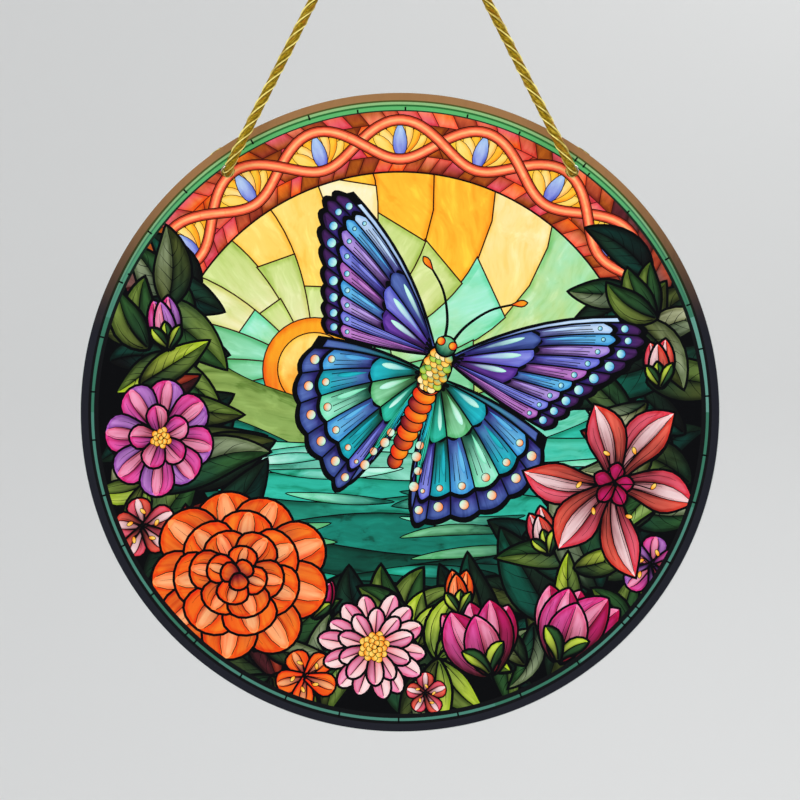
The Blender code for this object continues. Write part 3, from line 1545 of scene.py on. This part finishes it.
@dataclass(frozen=True)
class Butterfly(Motif):
    """A butterfly seen from above, with its head up."""

    # The left wings are a little narrower than the right ones.
    sides: Span = (-0.93, 1.0)
    segments: int = 9
    scale_rows: int = 9
    scale_tints: Cells = pairs("sea gold, amber honey, clover lime, gold cream")

    def forewing(self) -> Wing:
        """The right forewing.

        Returns:
            The wing.
        """
        return Wing(
            self.picture,
            root=1.6 + 6.5j,
            margin=(37 + 33j, 41.5 + 29j, 40 + 22j, 35.5 + 14j, 32 + 7j, 29 + 1j),
            bows=(0.07, -0.03),
            heart=0.46,
            border=0.84,
            heart_tints=pairs("indigo slate, violet periwinkle, plum violet"),
            ray_tints=pairs(
                "indigo skylight, indigo sky, plum lavender, indigo periwinkle, plum orchid, slate sky,"
                "plum lavender, indigo periwinkle, plum orchid"
            ),
            border_tints=named("indigo plum"),
            edge_tints=named("slate skylight"),
            spot=Tint.SKY,
        )

    def hindwing(self) -> Wing:
        """The right hindwing.

        Returns:
            The wing.
        """
        return Wing(
            self.picture,
            root=1.6 + 1.5j,
            margin=(30 - 1j, 31 - 9j, 28 - 17j, 22 - 24j, 15 - 28j, 10 - 31j, 6 - 24j, 3.4 - 15j),
            bows=(0.05, 0.0),
            heart=0.42,
            border=0.82,
            heart_tints=pairs("bottle turquoise, fern jade, bottle sea"),
            ray_tints=pairs(
                "indigo sky, slate turquoise, bottle mint, slate sky, bottle turquoise, indigo periwinkle,"
                "bottle sea, slate turquoise"
            ),
            border_tints=named("indigo slate"),
            edge_tints=named("teal slate"),
            spot=Tint.APRICOT,
        )

    def paint(self) -> None:
        """Paint the wings of both sides, then the body."""
        for side in self.sides:
            with self.picture.at(Place(squeeze=side)):
                self.hindwing().paint()
                self.forewing().paint()
        self.paint_abdomen()
        self.paint_thorax()
        self.paint_head()

    def paint_abdomen(self) -> None:
        """Paint the tapered abdomen as overlapping segments, from the tail up."""
        ring = disc(1.0, 20)
        for number in range(self.segments):
            share = number / (self.segments - 1)
            middle = -20j + 19j * share
            width = 1.0 + 1.7 * math.sin(math.pi * (0.12 + 0.5 * share))
            outline = middle + ring.real * width + 1.9j * ring.imag
            tints = named("flame amber" if number % 2 else "crimson orange")
            self.picture.pane(Layer.BUTTERFLY, outline, tints, (middle - width, middle + width), 0.3)

    def paint_thorax(self) -> None:
        """Paint the thorax as rows of small scales."""
        ring = disc(1.0, 28)
        body = 3.2j + ring.real * 3.3 + 5.6j * ring.imag
        self.picture.pane(Layer.BUTTERFLY, body, named("bronze yarn"), (-2j, 8j), 0.45)
        for row in range(self.scale_rows):
            height = -2.2 + row * 1.15
            half = 3.0 * math.sqrt(max(0.05, 1 - ((height - 2.2) / 5.4) ** 2))
            count = 3 + row % 2
            for number in range(count):
                spot = (number - (count - 1) / 2) * 2 * half / 3.6 + 1j * height
                scale = Blade(spot + 2.1j, spot - 0.1j, 1.9, belly=0.62, taper=0.5)
                self.picture.blade(Layer.BUTTERFLY, scale, [self.picture.luck.choice(self.scale_tints)], 0.13)

    def paint_head(self) -> None:
        """Paint the antennae, the head and its eyes."""
        for side in (-1, 1):
            feeler = smooth([side * 0.8 + 10j, side * 2.2 + 15j, side * 6 + 21j, side * 11 + 25j], 6)
            self.picture.stroke(feeler, 0.75, 0.5)
            tip = complex(feeler[-1])
            club = Blade(tip - side * 0.8 - 0.6j, tip + side * 2.2 + 1.2j, 1.3, belly=0.65)
            self.picture.blade(Layer.BUTTERFLY, club, pairs("orange amber"), 0.3)
        self.picture.pane(Layer.BUTTERFLY, 9.2j + disc(2.2, 24), named("bottle jade"), (7j, 11.4j), 0.45)
        for side in (-1, 1):
            eye = side * 1.5 + 9.9j + disc(0.85, 16)
            self.picture.pane(Layer.BUTTERFLY, eye, named("flame gold"), None, 0.25)


@dataclass(frozen=True)
class Whorl:
    """One ring or fan of petals of a flower, or of the leaves under a bud."""

    count: int
    length: float
    width: float
    cells: Cells
    # The direction of the first petal and the angle to the last one, in degrees.
    start: float = 90.0
    sweep: float = 360.0
    bow: float = 0.0
    belly: float = 0.62
    taper: float = 0.75
    blunt: float = 0.25
    veins: int = 3
    layer: Layer = Layer.BLOSSOMS
    lead: float = 0.6

    def paint(self, picture: Picture) -> None:
        """Paint the petals, the far ones first.

        Args:
            picture: the picture.
        """
        gaps = self.count if self.sweep >= 360 else max(self.count - 1, 1)
        turns = [self.start + self.sweep * number / gaps for number in range(self.count)]
        for turn in sorted(turns, key=lambda each: -math.sin(math.radians(each))):
            jitter = picture.luck.uniform(-4.0, 4.0)
            reach = self.length * picture.luck.uniform(0.93, 1.05)
            blade = Blade(
                0j,
                polar(reach, turn + jitter),
                self.width * picture.luck.uniform(0.92, 1.06),
                self.bow * (1 if picture.luck.random() < 0.6 else -1),
                self.belly,
                self.taper,
                self.blunt,
            )
            picture.blade(self.layer, blade, self.cells, self.lead, self.veins)


@dataclass(frozen=True)
class Flower:
    """A flower, as whorls of petals from the lowest up, with stamens or seeds in its eye."""

    place: Place
    whorls: tuple[Whorl, ...]
    seeds: int = 0
    seed_reach: float = 0.0
    stamens: int = 0
    stamen_reach: float = 0.0
    eye: Tints = named("amber honey")

    def paint(self, picture: Picture) -> None:
        """Paint the whorls, then the eye.

        Args:
            picture: the picture.
        """
        with picture.at(self.place):
            for whorl in self.whorls:
                whorl.paint(picture)
            for number in range(self.stamens):
                self.paint_stamen(picture, 360 * number / self.stamens)
            for number in reversed(range(self.seeds)):
                self.paint_seed(picture, number)

    def paint_stamen(self, picture: Picture, turn: float) -> None:
        """Paint a bent stalk with an anther at its end.

        Args:
            picture: the picture.
            turn: about which way it points, in degrees.
        """
        turn = turn + picture.luck.uniform(-9, 9)
        reach = self.stamen_reach * picture.luck.uniform(0.75, 1.1)
        stalk = smooth([0j, polar(reach * 0.6, turn + 6), polar(reach, turn)], 4)
        picture.stroke(stalk, 0.3, 0.3)
        tip = complex(stalk[-1])
        anther = Blade(tip, tip + polar(1.7, turn + 55), 0.9, taper=0.5)
        picture.blade(Layer.BLOSSOMS, anther, [self.eye], 0.16)

    def paint_seed(self, picture: Picture, number: int) -> None:
        """Paint a round seed on the spiral in the eye.

        Args:
            picture: the picture.
            number: its number, from the middle out.
        """
        reach = self.seed_reach * math.sqrt(number / self.seeds)
        size = 1.2 * self.seed_reach / math.sqrt(self.seeds) * (0.7 + 0.4 * reach / self.seed_reach)
        outline = polar(reach, GOLDEN_ANGLE * number) + disc(size, 10)
        tints = self.eye if number % 3 else self.eye[::-1]
        picture.pane(Layer.BLOSSOMS, outline, tints, None, 0.14, Tint.UMBER)


@dataclass(frozen=True)
class Undergrowth(Motif):
    """The dark ground round the lower part of the picture, filled with leaves in three ranks."""

    shore: tuple[complex, ...] = (
        64 + 30j, 61 + 12j, 55 - 3j, 46 - 20j, 34 - 34j, 16 - 43j, -4 - 44j, -22 - 42j, -38 - 30j,
        -49 - 14j, -56 + 2j, -60 + 18j, -65 + 30j,
    )
    # The ground's outer edge, as a radius and the directions of its ends.
    rim: tuple[float, float, float] = (71.2, 155.0, 385.0)
    ribs: int = 4
    # Each row's rank, its number of leaves, their length and how far they lean either way.
    rows: tuple[tuple[int, int, float, float], ...] = (
        (0, 44, 20.0, 75.0), (0, 22, 23.0, 25.0), (1, 34, 19.0, 75.0), (1, 12, 24.0, 25.0),
        (2, 22, 17.0, 75.0),
    )
    # The tints of the darker and the lighter half of a leaf, by rank.
    ranks: tuple[tuple[str, ...], ...] = (
        ("black deep, deep forest", "black forest, deep bottle", "black forest, forest olive"),
        (
            "forest olive, forest moss", "forest fern, deep moss", "deep fern, forest sage",
            "black maroon, maroon brick",
        ),
        (
            "forest moss, olive lime", "forest fern, olive meadow", "forest olive, olive sage",
            "forest sage, olive stone",
        ),
    )

    def paint(self) -> None:
        """Paint the ground, then the leaves."""
        ground = np.concatenate([smooth(self.shore, 6), arc(*self.rim, 90)])
        self.picture.pane(Layer.LEAD, ground, named("black black"), None, 0.5)
        for rank, count, length, lean in self.rows:
            for number in range(count):
                share = (number + self.picture.luck.uniform(0.1, 0.9)) / count
                blade = self.leaf(150 + 240 * share, length, lean, lean > 60 and number % 5 < 2)
                self.paint_leaf(blade, pairs(self.picture.luck.choice(self.ranks[rank])))

    def leaf(self, turn: float, length: float, lean: float, outward: bool) -> Blade:
        """Shape one leaf.

        Args:
            turn: the direction of its foot from the disc's centre, in degrees.
            length: about how long it is.
            lean: how far it leans either way, in degrees.
            outward: whether it points away from the centre.

        Returns:
            The leaf's shape.
        """
        luck = self.picture.luck
        base = polar(luck.uniform(54, 60) if outward else luck.uniform(54, 70), turn)
        way = turn + (0 if outward else 180) + luck.uniform(-lean, lean)
        size = length * luck.uniform(0.75, 1.15)
        width = size * luck.uniform(0.34, 0.5)
        return Blade(base, base + polar(size, way), width, luck.uniform(-0.16, 0.16), 0.42, 0.85)

    def paint_leaf(self, blade: Blade, halves: Cells) -> None:
        """Paint a leaf in two halves, then its side veins.

        Args:
            blade: its shape.
            halves: the tints of its two halves.
        """
        self.picture.blade(Layer.LEAVES, blade, halves, 0.6)
        for number in range(self.ribs):
            along = 0.16 + 0.62 * number / self.ribs
            for side in (-1, 1):
                foot = blade.at(along, 0.0)
                bend = blade.at(along + 0.09, side * 0.42)
                tip = blade.at(along + 0.2, side * 0.86)
                self.picture.stroke(smooth([foot, bend, tip], 3), 0.2, 0.05)


@dataclass(frozen=True)
class FlowerBed(Motif):
    """The flowers and sprigs of the picture."""

    fiery: Cells = pairs("crimson orange, flame apricot, crimson orange")
    glowing: Cells = pairs("flame orange, crimson apricot, flame orange")
    coral: Cells = pairs("maroon coral, crimson blush, maroon rose")
    berry: Cells = pairs("maroon magenta, crimson pink, maroon fuchsia")
    blush: Cells = pairs("crimson pink, rose blush")
    mauve: Cells = pairs("plum orchid, crimson pink, plum fuchsia")
    green: Cells = pairs("forest fern, olive lime")
    spring: Cells = pairs("olive moss, moss lime")
    dusk: Cells = pairs("forest fern, olive moss")

    def paint(self) -> None:
        """Paint the flowers, the far ones first."""
        singles = (self.cosmos(), self.lily(), *self.tulips(), self.peony(), self.daisy())
        for flower in (*self.sprigs(), *self.buds(), *self.small_flowers(), *singles):
            flower.paint(self.picture)

    def peony(self) -> Flower:
        """A big double flower in five rings.

        Returns:
            The flower.
        """
        whorls = (
            Whorl(9, 20.0, 13.0, self.fiery, belly=0.7, taper=0.5, veins=5),
            Whorl(7, 15.0, 11.5, self.glowing, start=70, belly=0.7, taper=0.5, veins=4),
            Whorl(6, 10.5, 9.0, self.fiery, start=100, belly=0.68, taper=0.5),
            Whorl(4, 6.5, 6.5, self.glowing, start=60, belly=0.65, taper=0.5, veins=2),
            Whorl(3, 3.6, 4.0, self.fiery[:1], start=30, belly=0.6, taper=0.5, veins=0),
        )
        return Flower(Place(-38 - 38j, 12, 1.05), whorls)

    def lily(self) -> Flower:
        """An open lily of six pointed petals.

        Returns:
            The flower.
        """
        whorls = (
            Whorl(3, 22.0, 9.5, self.coral, start=62, bow=0.08, taper=1.0, veins=4),
            Whorl(3, 20.5, 10.0, self.coral, start=2, bow=0.06, taper=1.0, veins=4),
            Whorl(5, 5.0, 3.4, pairs("crimson magenta"), start=20, veins=0),
        )
        return Flower(Place(50 - 17j, -14, 0.95), whorls, stamens=6, stamen_reach=8.5)

    def daisy(self) -> Flower:
        """A daisy with two rings of slim petals.

        Returns:
            The flower.
        """
        whorls = (
            Whorl(14, 12.5, 4.2, self.blush, belly=0.72, taper=0.55, veins=1),
            Whorl(10, 8.8, 3.4, self.blush, start=80, belly=0.7, taper=0.55, veins=0),
        )
        return Flower(Place(-6 - 55j, 8), whorls, seeds=26, seed_reach=3.2)

    def cosmos(self) -> Flower:
        """A flat flower of eight broad petals.

        Returns:
            The flower.
        """
        whorls = (
            Whorl(8, 13.5, 8.6, self.mauve, belly=0.74, taper=0.5, veins=4),
            Whorl(5, 7.5, 5.4, self.mauve[1:], start=110, belly=0.68, taper=0.6, veins=2),
        )
        return Flower(Place(-56 - 6j, -8, 0.92), whorls, seeds=14, seed_reach=2.2)

    def tulips(self) -> list[Flower]:
        """Two half-closed tulips with leaves under them.

        Returns:
            The flowers.
        """
        whorls = (
            Whorl(3, 19.0, 8.5, self.berry[:2], start=62, sweep=56, belly=0.55),
            Whorl(2, 18.5, 11.0, self.berry, start=74, sweep=32, bow=0.05, belly=0.5, veins=4),
            Whorl(1, 15.5, 9.5, self.berry[1:], start=90, sweep=0, belly=0.48, veins=4),
            Whorl(2, 8.5, 3.6, self.green, start=50, sweep=80, bow=0.1, veins=1, layer=Layer.LEAVES),
        )
        places = (Place(37 - 58j, -22, 1.0, 0.95), Place(21 - 61j, 14, 1.0, 0.9))
        return [Flower(place, whorls) for place in places]

    def buds(self) -> list[Flower]:
        """Closed buds with three sepals each.

        Returns:
            The buds, the far ones first.
        """
        sepals = Whorl(3, 5.5, 2.2, self.green, start=58, sweep=64, veins=0, layer=Layer.LEAVES)
        buds = []
        for place, tints in (
            (Place(-54 + 15j, 8, 1.0, 1.05), self.mauve),
            (Place(61 + 6j, 6), self.coral),
            (Place(35 - 33j, 18, 1.0, 0.95), self.coral),
            (Place(14 - 47j, 2, 1.0, 0.95), self.fiery),
            (Place(-20 - 48j, -20, 1.0, 0.9), self.berry),
        ):
            outer = Whorl(2, 11.0, 5.0, tints, start=80, sweep=20, belly=0.5, veins=2)
            inner = Whorl(1, 10.0, 4.6, tints[:2], start=90, sweep=0, belly=0.45, veins=2)
            buds.append(Flower(place, (outer, inner, sepals)))
        return buds

    def small_flowers(self) -> list[Flower]:
        """Small flowers of five petals.

        Returns:
            The flowers, the far ones first.
        """
        flowers = []
        for place, tints in (
            (Place(-60 - 27j, 10, 1.0, 0.9), self.coral),
            (Place(-22 - 62j, 30, 1.0, 0.85), self.glowing),
            (Place(59 - 36j, -10, 1.0, 0.9), self.mauve),
            (Place(6 - 66j, 0, 1.0, 0.6), self.coral),
        ):
            petals = Whorl(5, 8.0, 6.0, tints, belly=0.7, taper=0.5, veins=2)
            flowers.append(Flower(place, (petals,), stamens=5, stamen_reach=3.4))
        return flowers

    def sprigs(self) -> list[Flower]:
        """Sprigs of pale leaves between the flowers and at the arch's feet.

        Returns:
            The sprigs, the far ones first.
        """
        shape = {"bow": 0.1, "belly": 0.45, "taper": 0.85, "blunt": 0.0, "layer": Layer.LEAVES}
        sprigs = []
        # Each sprig's foot, its size, its number of leaves, the first one's direction and their sweep.
        for foot, size, count, start, sweep, tints in (
            (1 - 52j, 1.15, 4, 42, 96, self.dusk),
            (4 - 55j, 0.95, 3, 50, 70, self.spring),
            (9 - 58j, 1.15, 5, -85, 160, self.spring),
            (53 - 52j, 1.0, 4, -20, 150, self.dusk),
            (57 - 44j, 0.8, 3, -60, 110, self.spring),
            (-60 - 17j, 0.9, 3, 130, 110, self.spring),
            (-30 - 62j, 1.0, 3, 200, 120, self.dusk),
            (-59 + 15j, 1.15, 2, 94, 22, self.dusk),
            (60 + 22j, 1.0, 3, 95, 50, self.dusk),
        ):
            leaves = Whorl(count, 14.0, 6.2, tints, start=start, sweep=sweep, **shape)
            sprigs.append(Flower(Place(foot, size=size), (leaves,)))
        return sprigs


# ---- The sub-assemblies ----


class Lay(Enum):
    """Which way the plies of a cord turn round it."""

    RIGHT = "right"
    LEFT = "left"
    MIRRORED = "right up to the middle, then left"


@dataclass(frozen=True)
class TwistedYarn:
    """Three plies of yarn laid round each other with a thread along each, swept along a route in metres."""

    name: str
    route: Array
    diameter: float
    lay: Lay
    # The length of cord in which a ply goes once round it.
    lay_length: float = 0.0121
    plies: int = 3
    ply_sides: int = 20
    ring_gap: float = 0.0004
    # The radius between two plies and on top of one, as shares of the cord's radius.
    groove: float = 0.66
    crest: float = 0.89
    # How far across a ply its thread lies, and how steep the thread's sides are.
    thread_place: float = 0.9
    thread_slope: float = 34
    # The length over which a mirrored lay turns back, in metres.
    turn_back: float = 0.001

    @property
    def sides(self) -> int:
        """How many sides the cord has round it."""
        return self.plies * self.ply_sides

    def section(self, share: Array) -> Array:
        """Work out the cord's radius, with the raised thread along one side of each ply.

        Args:
            share: the places, as shares of the way across a ply.

        Returns:
            The radius at each.
        """
        ply = self.groove + (self.crest - self.groove) * np.sin(np.pi * share) ** 0.6
        thread = 1 - self.thread_slope * (share - self.thread_place) ** 2
        return self.diameter / 2 * np.maximum(ply, thread)

    def rings(self) -> Array:
        """The centres of the cord's rings."""
        return evenly(self.route, self.ring_gap)

    def laid(self, along: Array) -> Array:
        """Work out how far the plies have turned, as the length of cord that turns them so far.

        Args:
            along: distances along the cord.

        Returns:
            The turned length at each.
        """
        if self.lay is Lay.MIRRORED:
            return -np.hypot(along - along[-1] / 2, self.turn_back)
        return along if self.lay is Lay.RIGHT else -along

    @staticmethod
    def frames(centres: Array) -> tuple[Array, Array]:
        """Find two directions across the cord at each ring, carried along without twist.

        Args:
            centres: the rings' centres.

        Returns:
            The two unit vectors of each ring, as rows.
        """
        tangents = np.gradient(centres, axis=0)
        tangents /= np.linalg.norm(tangents, axis=1)[:, None]
        side = np.cross(tangents[0], (0.0, 1.0, 0.1))
        sides = []
        for tangent in tangents:
            side = side - tangent * side.dot(tangent)
            side = side / np.linalg.norm(side)
            sides.append(side)
        sides = np.array(sides)
        return sides, np.cross(tangents, sides)

    def skin(self, along: Array) -> tuple[list[tuple[int, ...]], list[Point3]]:
        """List the faces of the cord, with capped ends, and where they lie on its plies.

        Args:
            along: the distance of each ring along the cord.

        Returns:
            The faces as vertex numbers, the two ends' centres last, and for every corner of a face its
            share across the ply, its distance along in millimetres and the ply's number.
        """
        faces, lay = [], []
        for ring in range(len(along) - 1):
            start, end = along[ring] / MM, along[ring + 1] / MM
            base, top = ring * self.sides, (ring + 1) * self.sides
            for number in range(self.sides):
                after = (number + 1) % self.sides
                faces.append((base + number, base + after, top + after, top + number))
                low = number % self.ply_sides / self.ply_sides
                high = low + 1 / self.ply_sides
                ply = float(number // self.ply_sides)
                lay.extend([(low, start, ply), (high, start, ply), (high, end, ply), (low, end, ply)])
        first = len(along) * self.sides
        top = first - self.sides
        for number in range(self.sides):
            after = (number + 1) % self.sides
            faces.append((first, after, number))
            faces.append((first + 1, top + number, top + after))
            lay.extend([(0.5, 0.0, 0.0)] * 3 + [(0.5, along[-1] / MM, 0.0)] * 3)
        return faces, lay

    def build(self, finish: Material) -> Object:
        """Make the cord as a closed tube of plied section.

        Args:
            finish: its material.

        Returns:
            The cord piece.
        """
        centres = self.rings()
        sides, fronts = self.frames(centres)
        numbers = np.arange(self.sides)
        along = np.arange(len(centres)) * self.ring_gap
        turn = numbers[None, :] / self.sides + self.laid(along)[:, None] / self.lay_length
        radius = self.section(numbers % self.ply_sides / self.ply_sides)[None, :, None]
        angle = math.tau * turn[:, :, None]
        rim = centres[:, None] + radius * (np.cos(angle) * sides[:, None] + np.sin(angle) * fronts[:, None])
        vertices = np.concatenate([rim.reshape(-1, 3), centres[:1], centres[-1:]])
        faces, lay = self.skin(along)
        mesh = bpy.data.meshes.new(self.name)
        mesh.from_pydata(vertices.tolist(), [], faces)
        store(mesh, "Lay", np.array(lay))
        mesh.shade_smooth()
        return piece(self.name, mesh, finish)


@dataclass(frozen=True)
class HangingCord:
    """The gold cord: one length through both holes and over the hook, with a knot behind each hole."""

    diameter: float = 0.0024
    # The gap between the disc's back and a knot, and how far the knot's cord reaches into the hole.
    knot_gap: float = 0.0003
    overlap: float = 0.0008
    # The depth of the disc's back.
    back: float = 0.0015
    # How close the rings of a knot's cord are.
    knot_rings: float = 0.0003
    yarn: GoldCordYarn = GoldCordYarn()

    def route(self) -> Array:
        """The cord's middle line from knot to knot."""
        right = [(-x, y, z) for x, y, z in reversed(LEFT_HALF_OF_CORD[:-1])]
        return smooth(LEFT_HALF_OF_CORD + right, 12)

    def knot_route(self, side: int) -> Array:
        """Follow a knot's middle line from the hole to the end of its tail.

        Args:
            side: -1 for the left knot, 1 for the right one.

        Returns:
            The line's places, as rows.
        """
        across, _, up = LEFT_HALF_OF_CORD[0]
        mouth = np.array([-side * across, self.back + self.knot_gap, up])
        knot = mouth + self.diameter * np.array([(-side * x, away, rise) for x, away, rise in KNOT_ROUTE])
        start = mouth - (0.0, self.knot_gap + self.overlap, 0.0)
        return smooth(np.array([start, *knot]), 12)

    def build(self) -> list[Object]:
        """Returns:
            The cord, then the left and right knots.
        """
        gold = self.yarn.build()
        route = self.route()
        yarn = TwistedYarn("hanging_cord_twisted", route, self.diameter, Lay.MIRRORED)
        cord = yarn.build(gold)
        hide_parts("hanging_cord")
        knots = []
        for side, name, lay in ((-1, "knot_left", Lay.RIGHT), (1, "knot_right", Lay.LEFT)):
            line = self.knot_route(side)
            knot = TwistedYarn(f"{name}_tied", line, self.diameter, lay, ring_gap=self.knot_rings).build(gold)
            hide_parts(name)
            knots.append(knot)
        for made in (cord, *knots):
            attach(made, "root")
        [tuple(centre) for centre in yarn.rings()]
        return [cord, *knots]


@dataclass(frozen=True)
class PrintedDisc:
    """The clear disc with its printed picture."""

    # The right hole's middle from the disc's centre, and its radius, in millimetres.
    hole_spot: complex = 40.3 + 56.5j
    hole_radius: float = 1.6
    butterfly_place: Place = Place(7 + 7j, -24)
    acrylic: ClearAcrylic = ClearAcrylic()

    def finishes(self) -> dict[Layer, Material]:
        """Make the inks of the films.

        Returns:
            Each film's material.
        """
        inks = {
            Layer.RIM: PrintedInk("rim_ink", softness=0.1, pale=0.0, dark=0.06, shade=0.0),
            Layer.ARCH: PrintedInk("arch_ink", (0.25, 0.8), pale=0.35, dark=0.3),
            Layer.SKY: PrintedInk("sky_ink", (0.05, 0.35), pale=0.6, dark=0.4, shade=0.2, wander=8.0),
            Layer.LAKE: PrintedInk("lake_ink", (0.03, 0.5), pale=0.4, dark=0.7, wander=9.0),
            Layer.LEAVES: PrintedInk("leaf_ink", (0.12, 0.8), pale=0.15, edge=0.85, hem=0.4),
            Layer.BLOSSOMS: PrintedInk("petal_ink", (0.06, 0.9), pale=0.35, dark=0.45, edge=0.85, hem=0.7),
            Layer.BUTTERFLY: PrintedInk("wing_ink", (0.08, 0.9), pale=0.35, dark=0.4),
            Layer.LEAD: LeadInk(),
        }
        return {layer: ink.build() for layer, ink in inks.items()}

    def build(self) -> list[Object]:
        """Dress the disc and print the picture.

        Returns:
            The disc and the films.
        """
        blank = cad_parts["acrylic_disc"]
        blank.material_slots[0].material = self.acrylic.build()
        low, high = (Vector(corner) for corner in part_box("acrylic_disc"))
        spots = (self.hole_spot, -self.hole_spot.conjugate())
        holes = [spot + disc(self.hole_radius, 32) for spot in spots]
        picture = Picture((low + high) / 2, low.y, holes)
        for motif in (Sunburst, Shore, TileArch, Undergrowth):
            motif(picture).paint()
        with picture.at(self.butterfly_place):
            Butterfly(picture).paint()
        for motif in (FlowerBed, RimBand):
            motif(picture).paint()
        films = picture.build(self.finishes())
        for film in films:
            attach(film, "root")
        return [blank, *films]


@dataclass(frozen=True)
class SoftLight:
    """A square area light that looks at the object."""

    name: str
    place: Point3
    size: float
    watts: float

    def build(self, aim: Vector) -> None:
        """Make the light.

        Args:
            aim: where it points.
        """
        lamp = bpy.data.lights.new(self.name, "AREA")
        lamp.size = self.size
        lamp.energy = self.watts
        made = bpy.data.objects.new(self.name, lamp)
        made.location = self.place
        made.rotation_euler = (aim - Vector(self.place)).to_track_quat("-Z", "Y").to_euler()
        bpy.context.scene.collection.objects.link(made)


@dataclass(frozen=True)
class Studio:
    """A pale sweep of paper, soft lights and a level camera that looks straight at the disc."""

    lens: float = 85.0
    distance: float = 0.4422
    aim_above_centre: float = 0.00285
    floor_below: float = 0.36
    wall_behind: float = 1.3
    wall_height: float = 2.6
    sweep_radius: float = 0.45
    half_width: float = 20.0
    front: float = 30.0
    paper: PaperBackdrop = PaperBackdrop()
    # A key light, a fill and a light from behind, and the spot they all look at.
    lamps: tuple[SoftLight, ...] = (
        SoftLight("key_light", (-0.9, -1.1, 0.9), 0.9, 8.0),
        SoftLight("fill_light", (1.1, -1.0, 0.3), 1.0, 3.5),
        SoftLight("back_light", (0.6, 1.0, 0.8), 0.8, 7.0),
    )
    aim: Point3 = (0.0, 0.0, -0.12)
    surround_tint: Colour = (0.95, 0.97, 1.0)
    surround_strength: float = 0.6

    def camera(self) -> None:
        """Make the camera and look through it."""
        low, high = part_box("acrylic_disc")
        lens = bpy.data.cameras.new("front_camera")
        lens.lens = self.lens
        made = bpy.data.objects.new("front_camera", lens)
        height = (low[2] + high[2]) / 2 + self.aim_above_centre
        made.location = (0.0, low[1] - self.distance, height)
        made.rotation_euler = (math.radians(90), 0.0, 0.0)
        bpy.context.scene.collection.objects.link(made)
        bpy.context.scene.camera = made

    def backdrop(self) -> Object:
        """Make the floor, which sweeps up into the wall.

        Returns:
            The backdrop's piece.
        """
        low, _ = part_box("acrylic_disc")
        floor = low[2] - self.floor_below
        bend = arc(self.sweep_radius, -90.0, 0.0, 17)
        start = self.wall_behind - self.sweep_radius
        profile = [(-self.front, floor)]
        profile += [(start + spot.real, floor + self.sweep_radius + spot.imag) for spot in bend]
        profile.append((self.wall_behind, floor + self.wall_height))
        vertices = [(side * self.half_width, y, z) for y, z in profile for side in (-1, 1)]
        faces = [(2 * i, 2 * i + 1, 2 * i + 3, 2 * i + 2) for i in range(len(profile) - 1)]
        mesh = bpy.data.meshes.new("paper_sweep")
        mesh.from_pydata(vertices, [], faces)
        mesh.shade_smooth()
        sweep = piece("paper_sweep", mesh, self.paper.build())
        return sweep

    def lights(self) -> None:
        """Make an even surround and the lights."""
        world = bpy.data.worlds.new("soft_surround")
        world.use_nodes = True
        surround = world.node_tree.nodes["Background"]
        surround.inputs["Color"].default_value = (*self.surround_tint, 1.0)
        surround.inputs["Strength"].default_value = self.surround_strength
        bpy.context.scene.world = world
        for lamp in self.lamps:
            lamp.build(Vector(self.aim))


def main() -> None:
    """Build the scene in order: camera, cord, printed disc, backdrop and lights."""
    logging.basicConfig(level=logging.INFO, format="%(name)s: %(message)s")
    studio = Studio()
    studio.camera()
    for made in (*HangingCord().build(), *PrintedDisc().build(), studio.backdrop()):
        LOG.info("%s, %d faces", made.name, len(made.data.polygons))
    studio.lights()
    bpy.context.scene.view_settings.view_transform = "Standard"


if __name__ == "__main__":
    main()
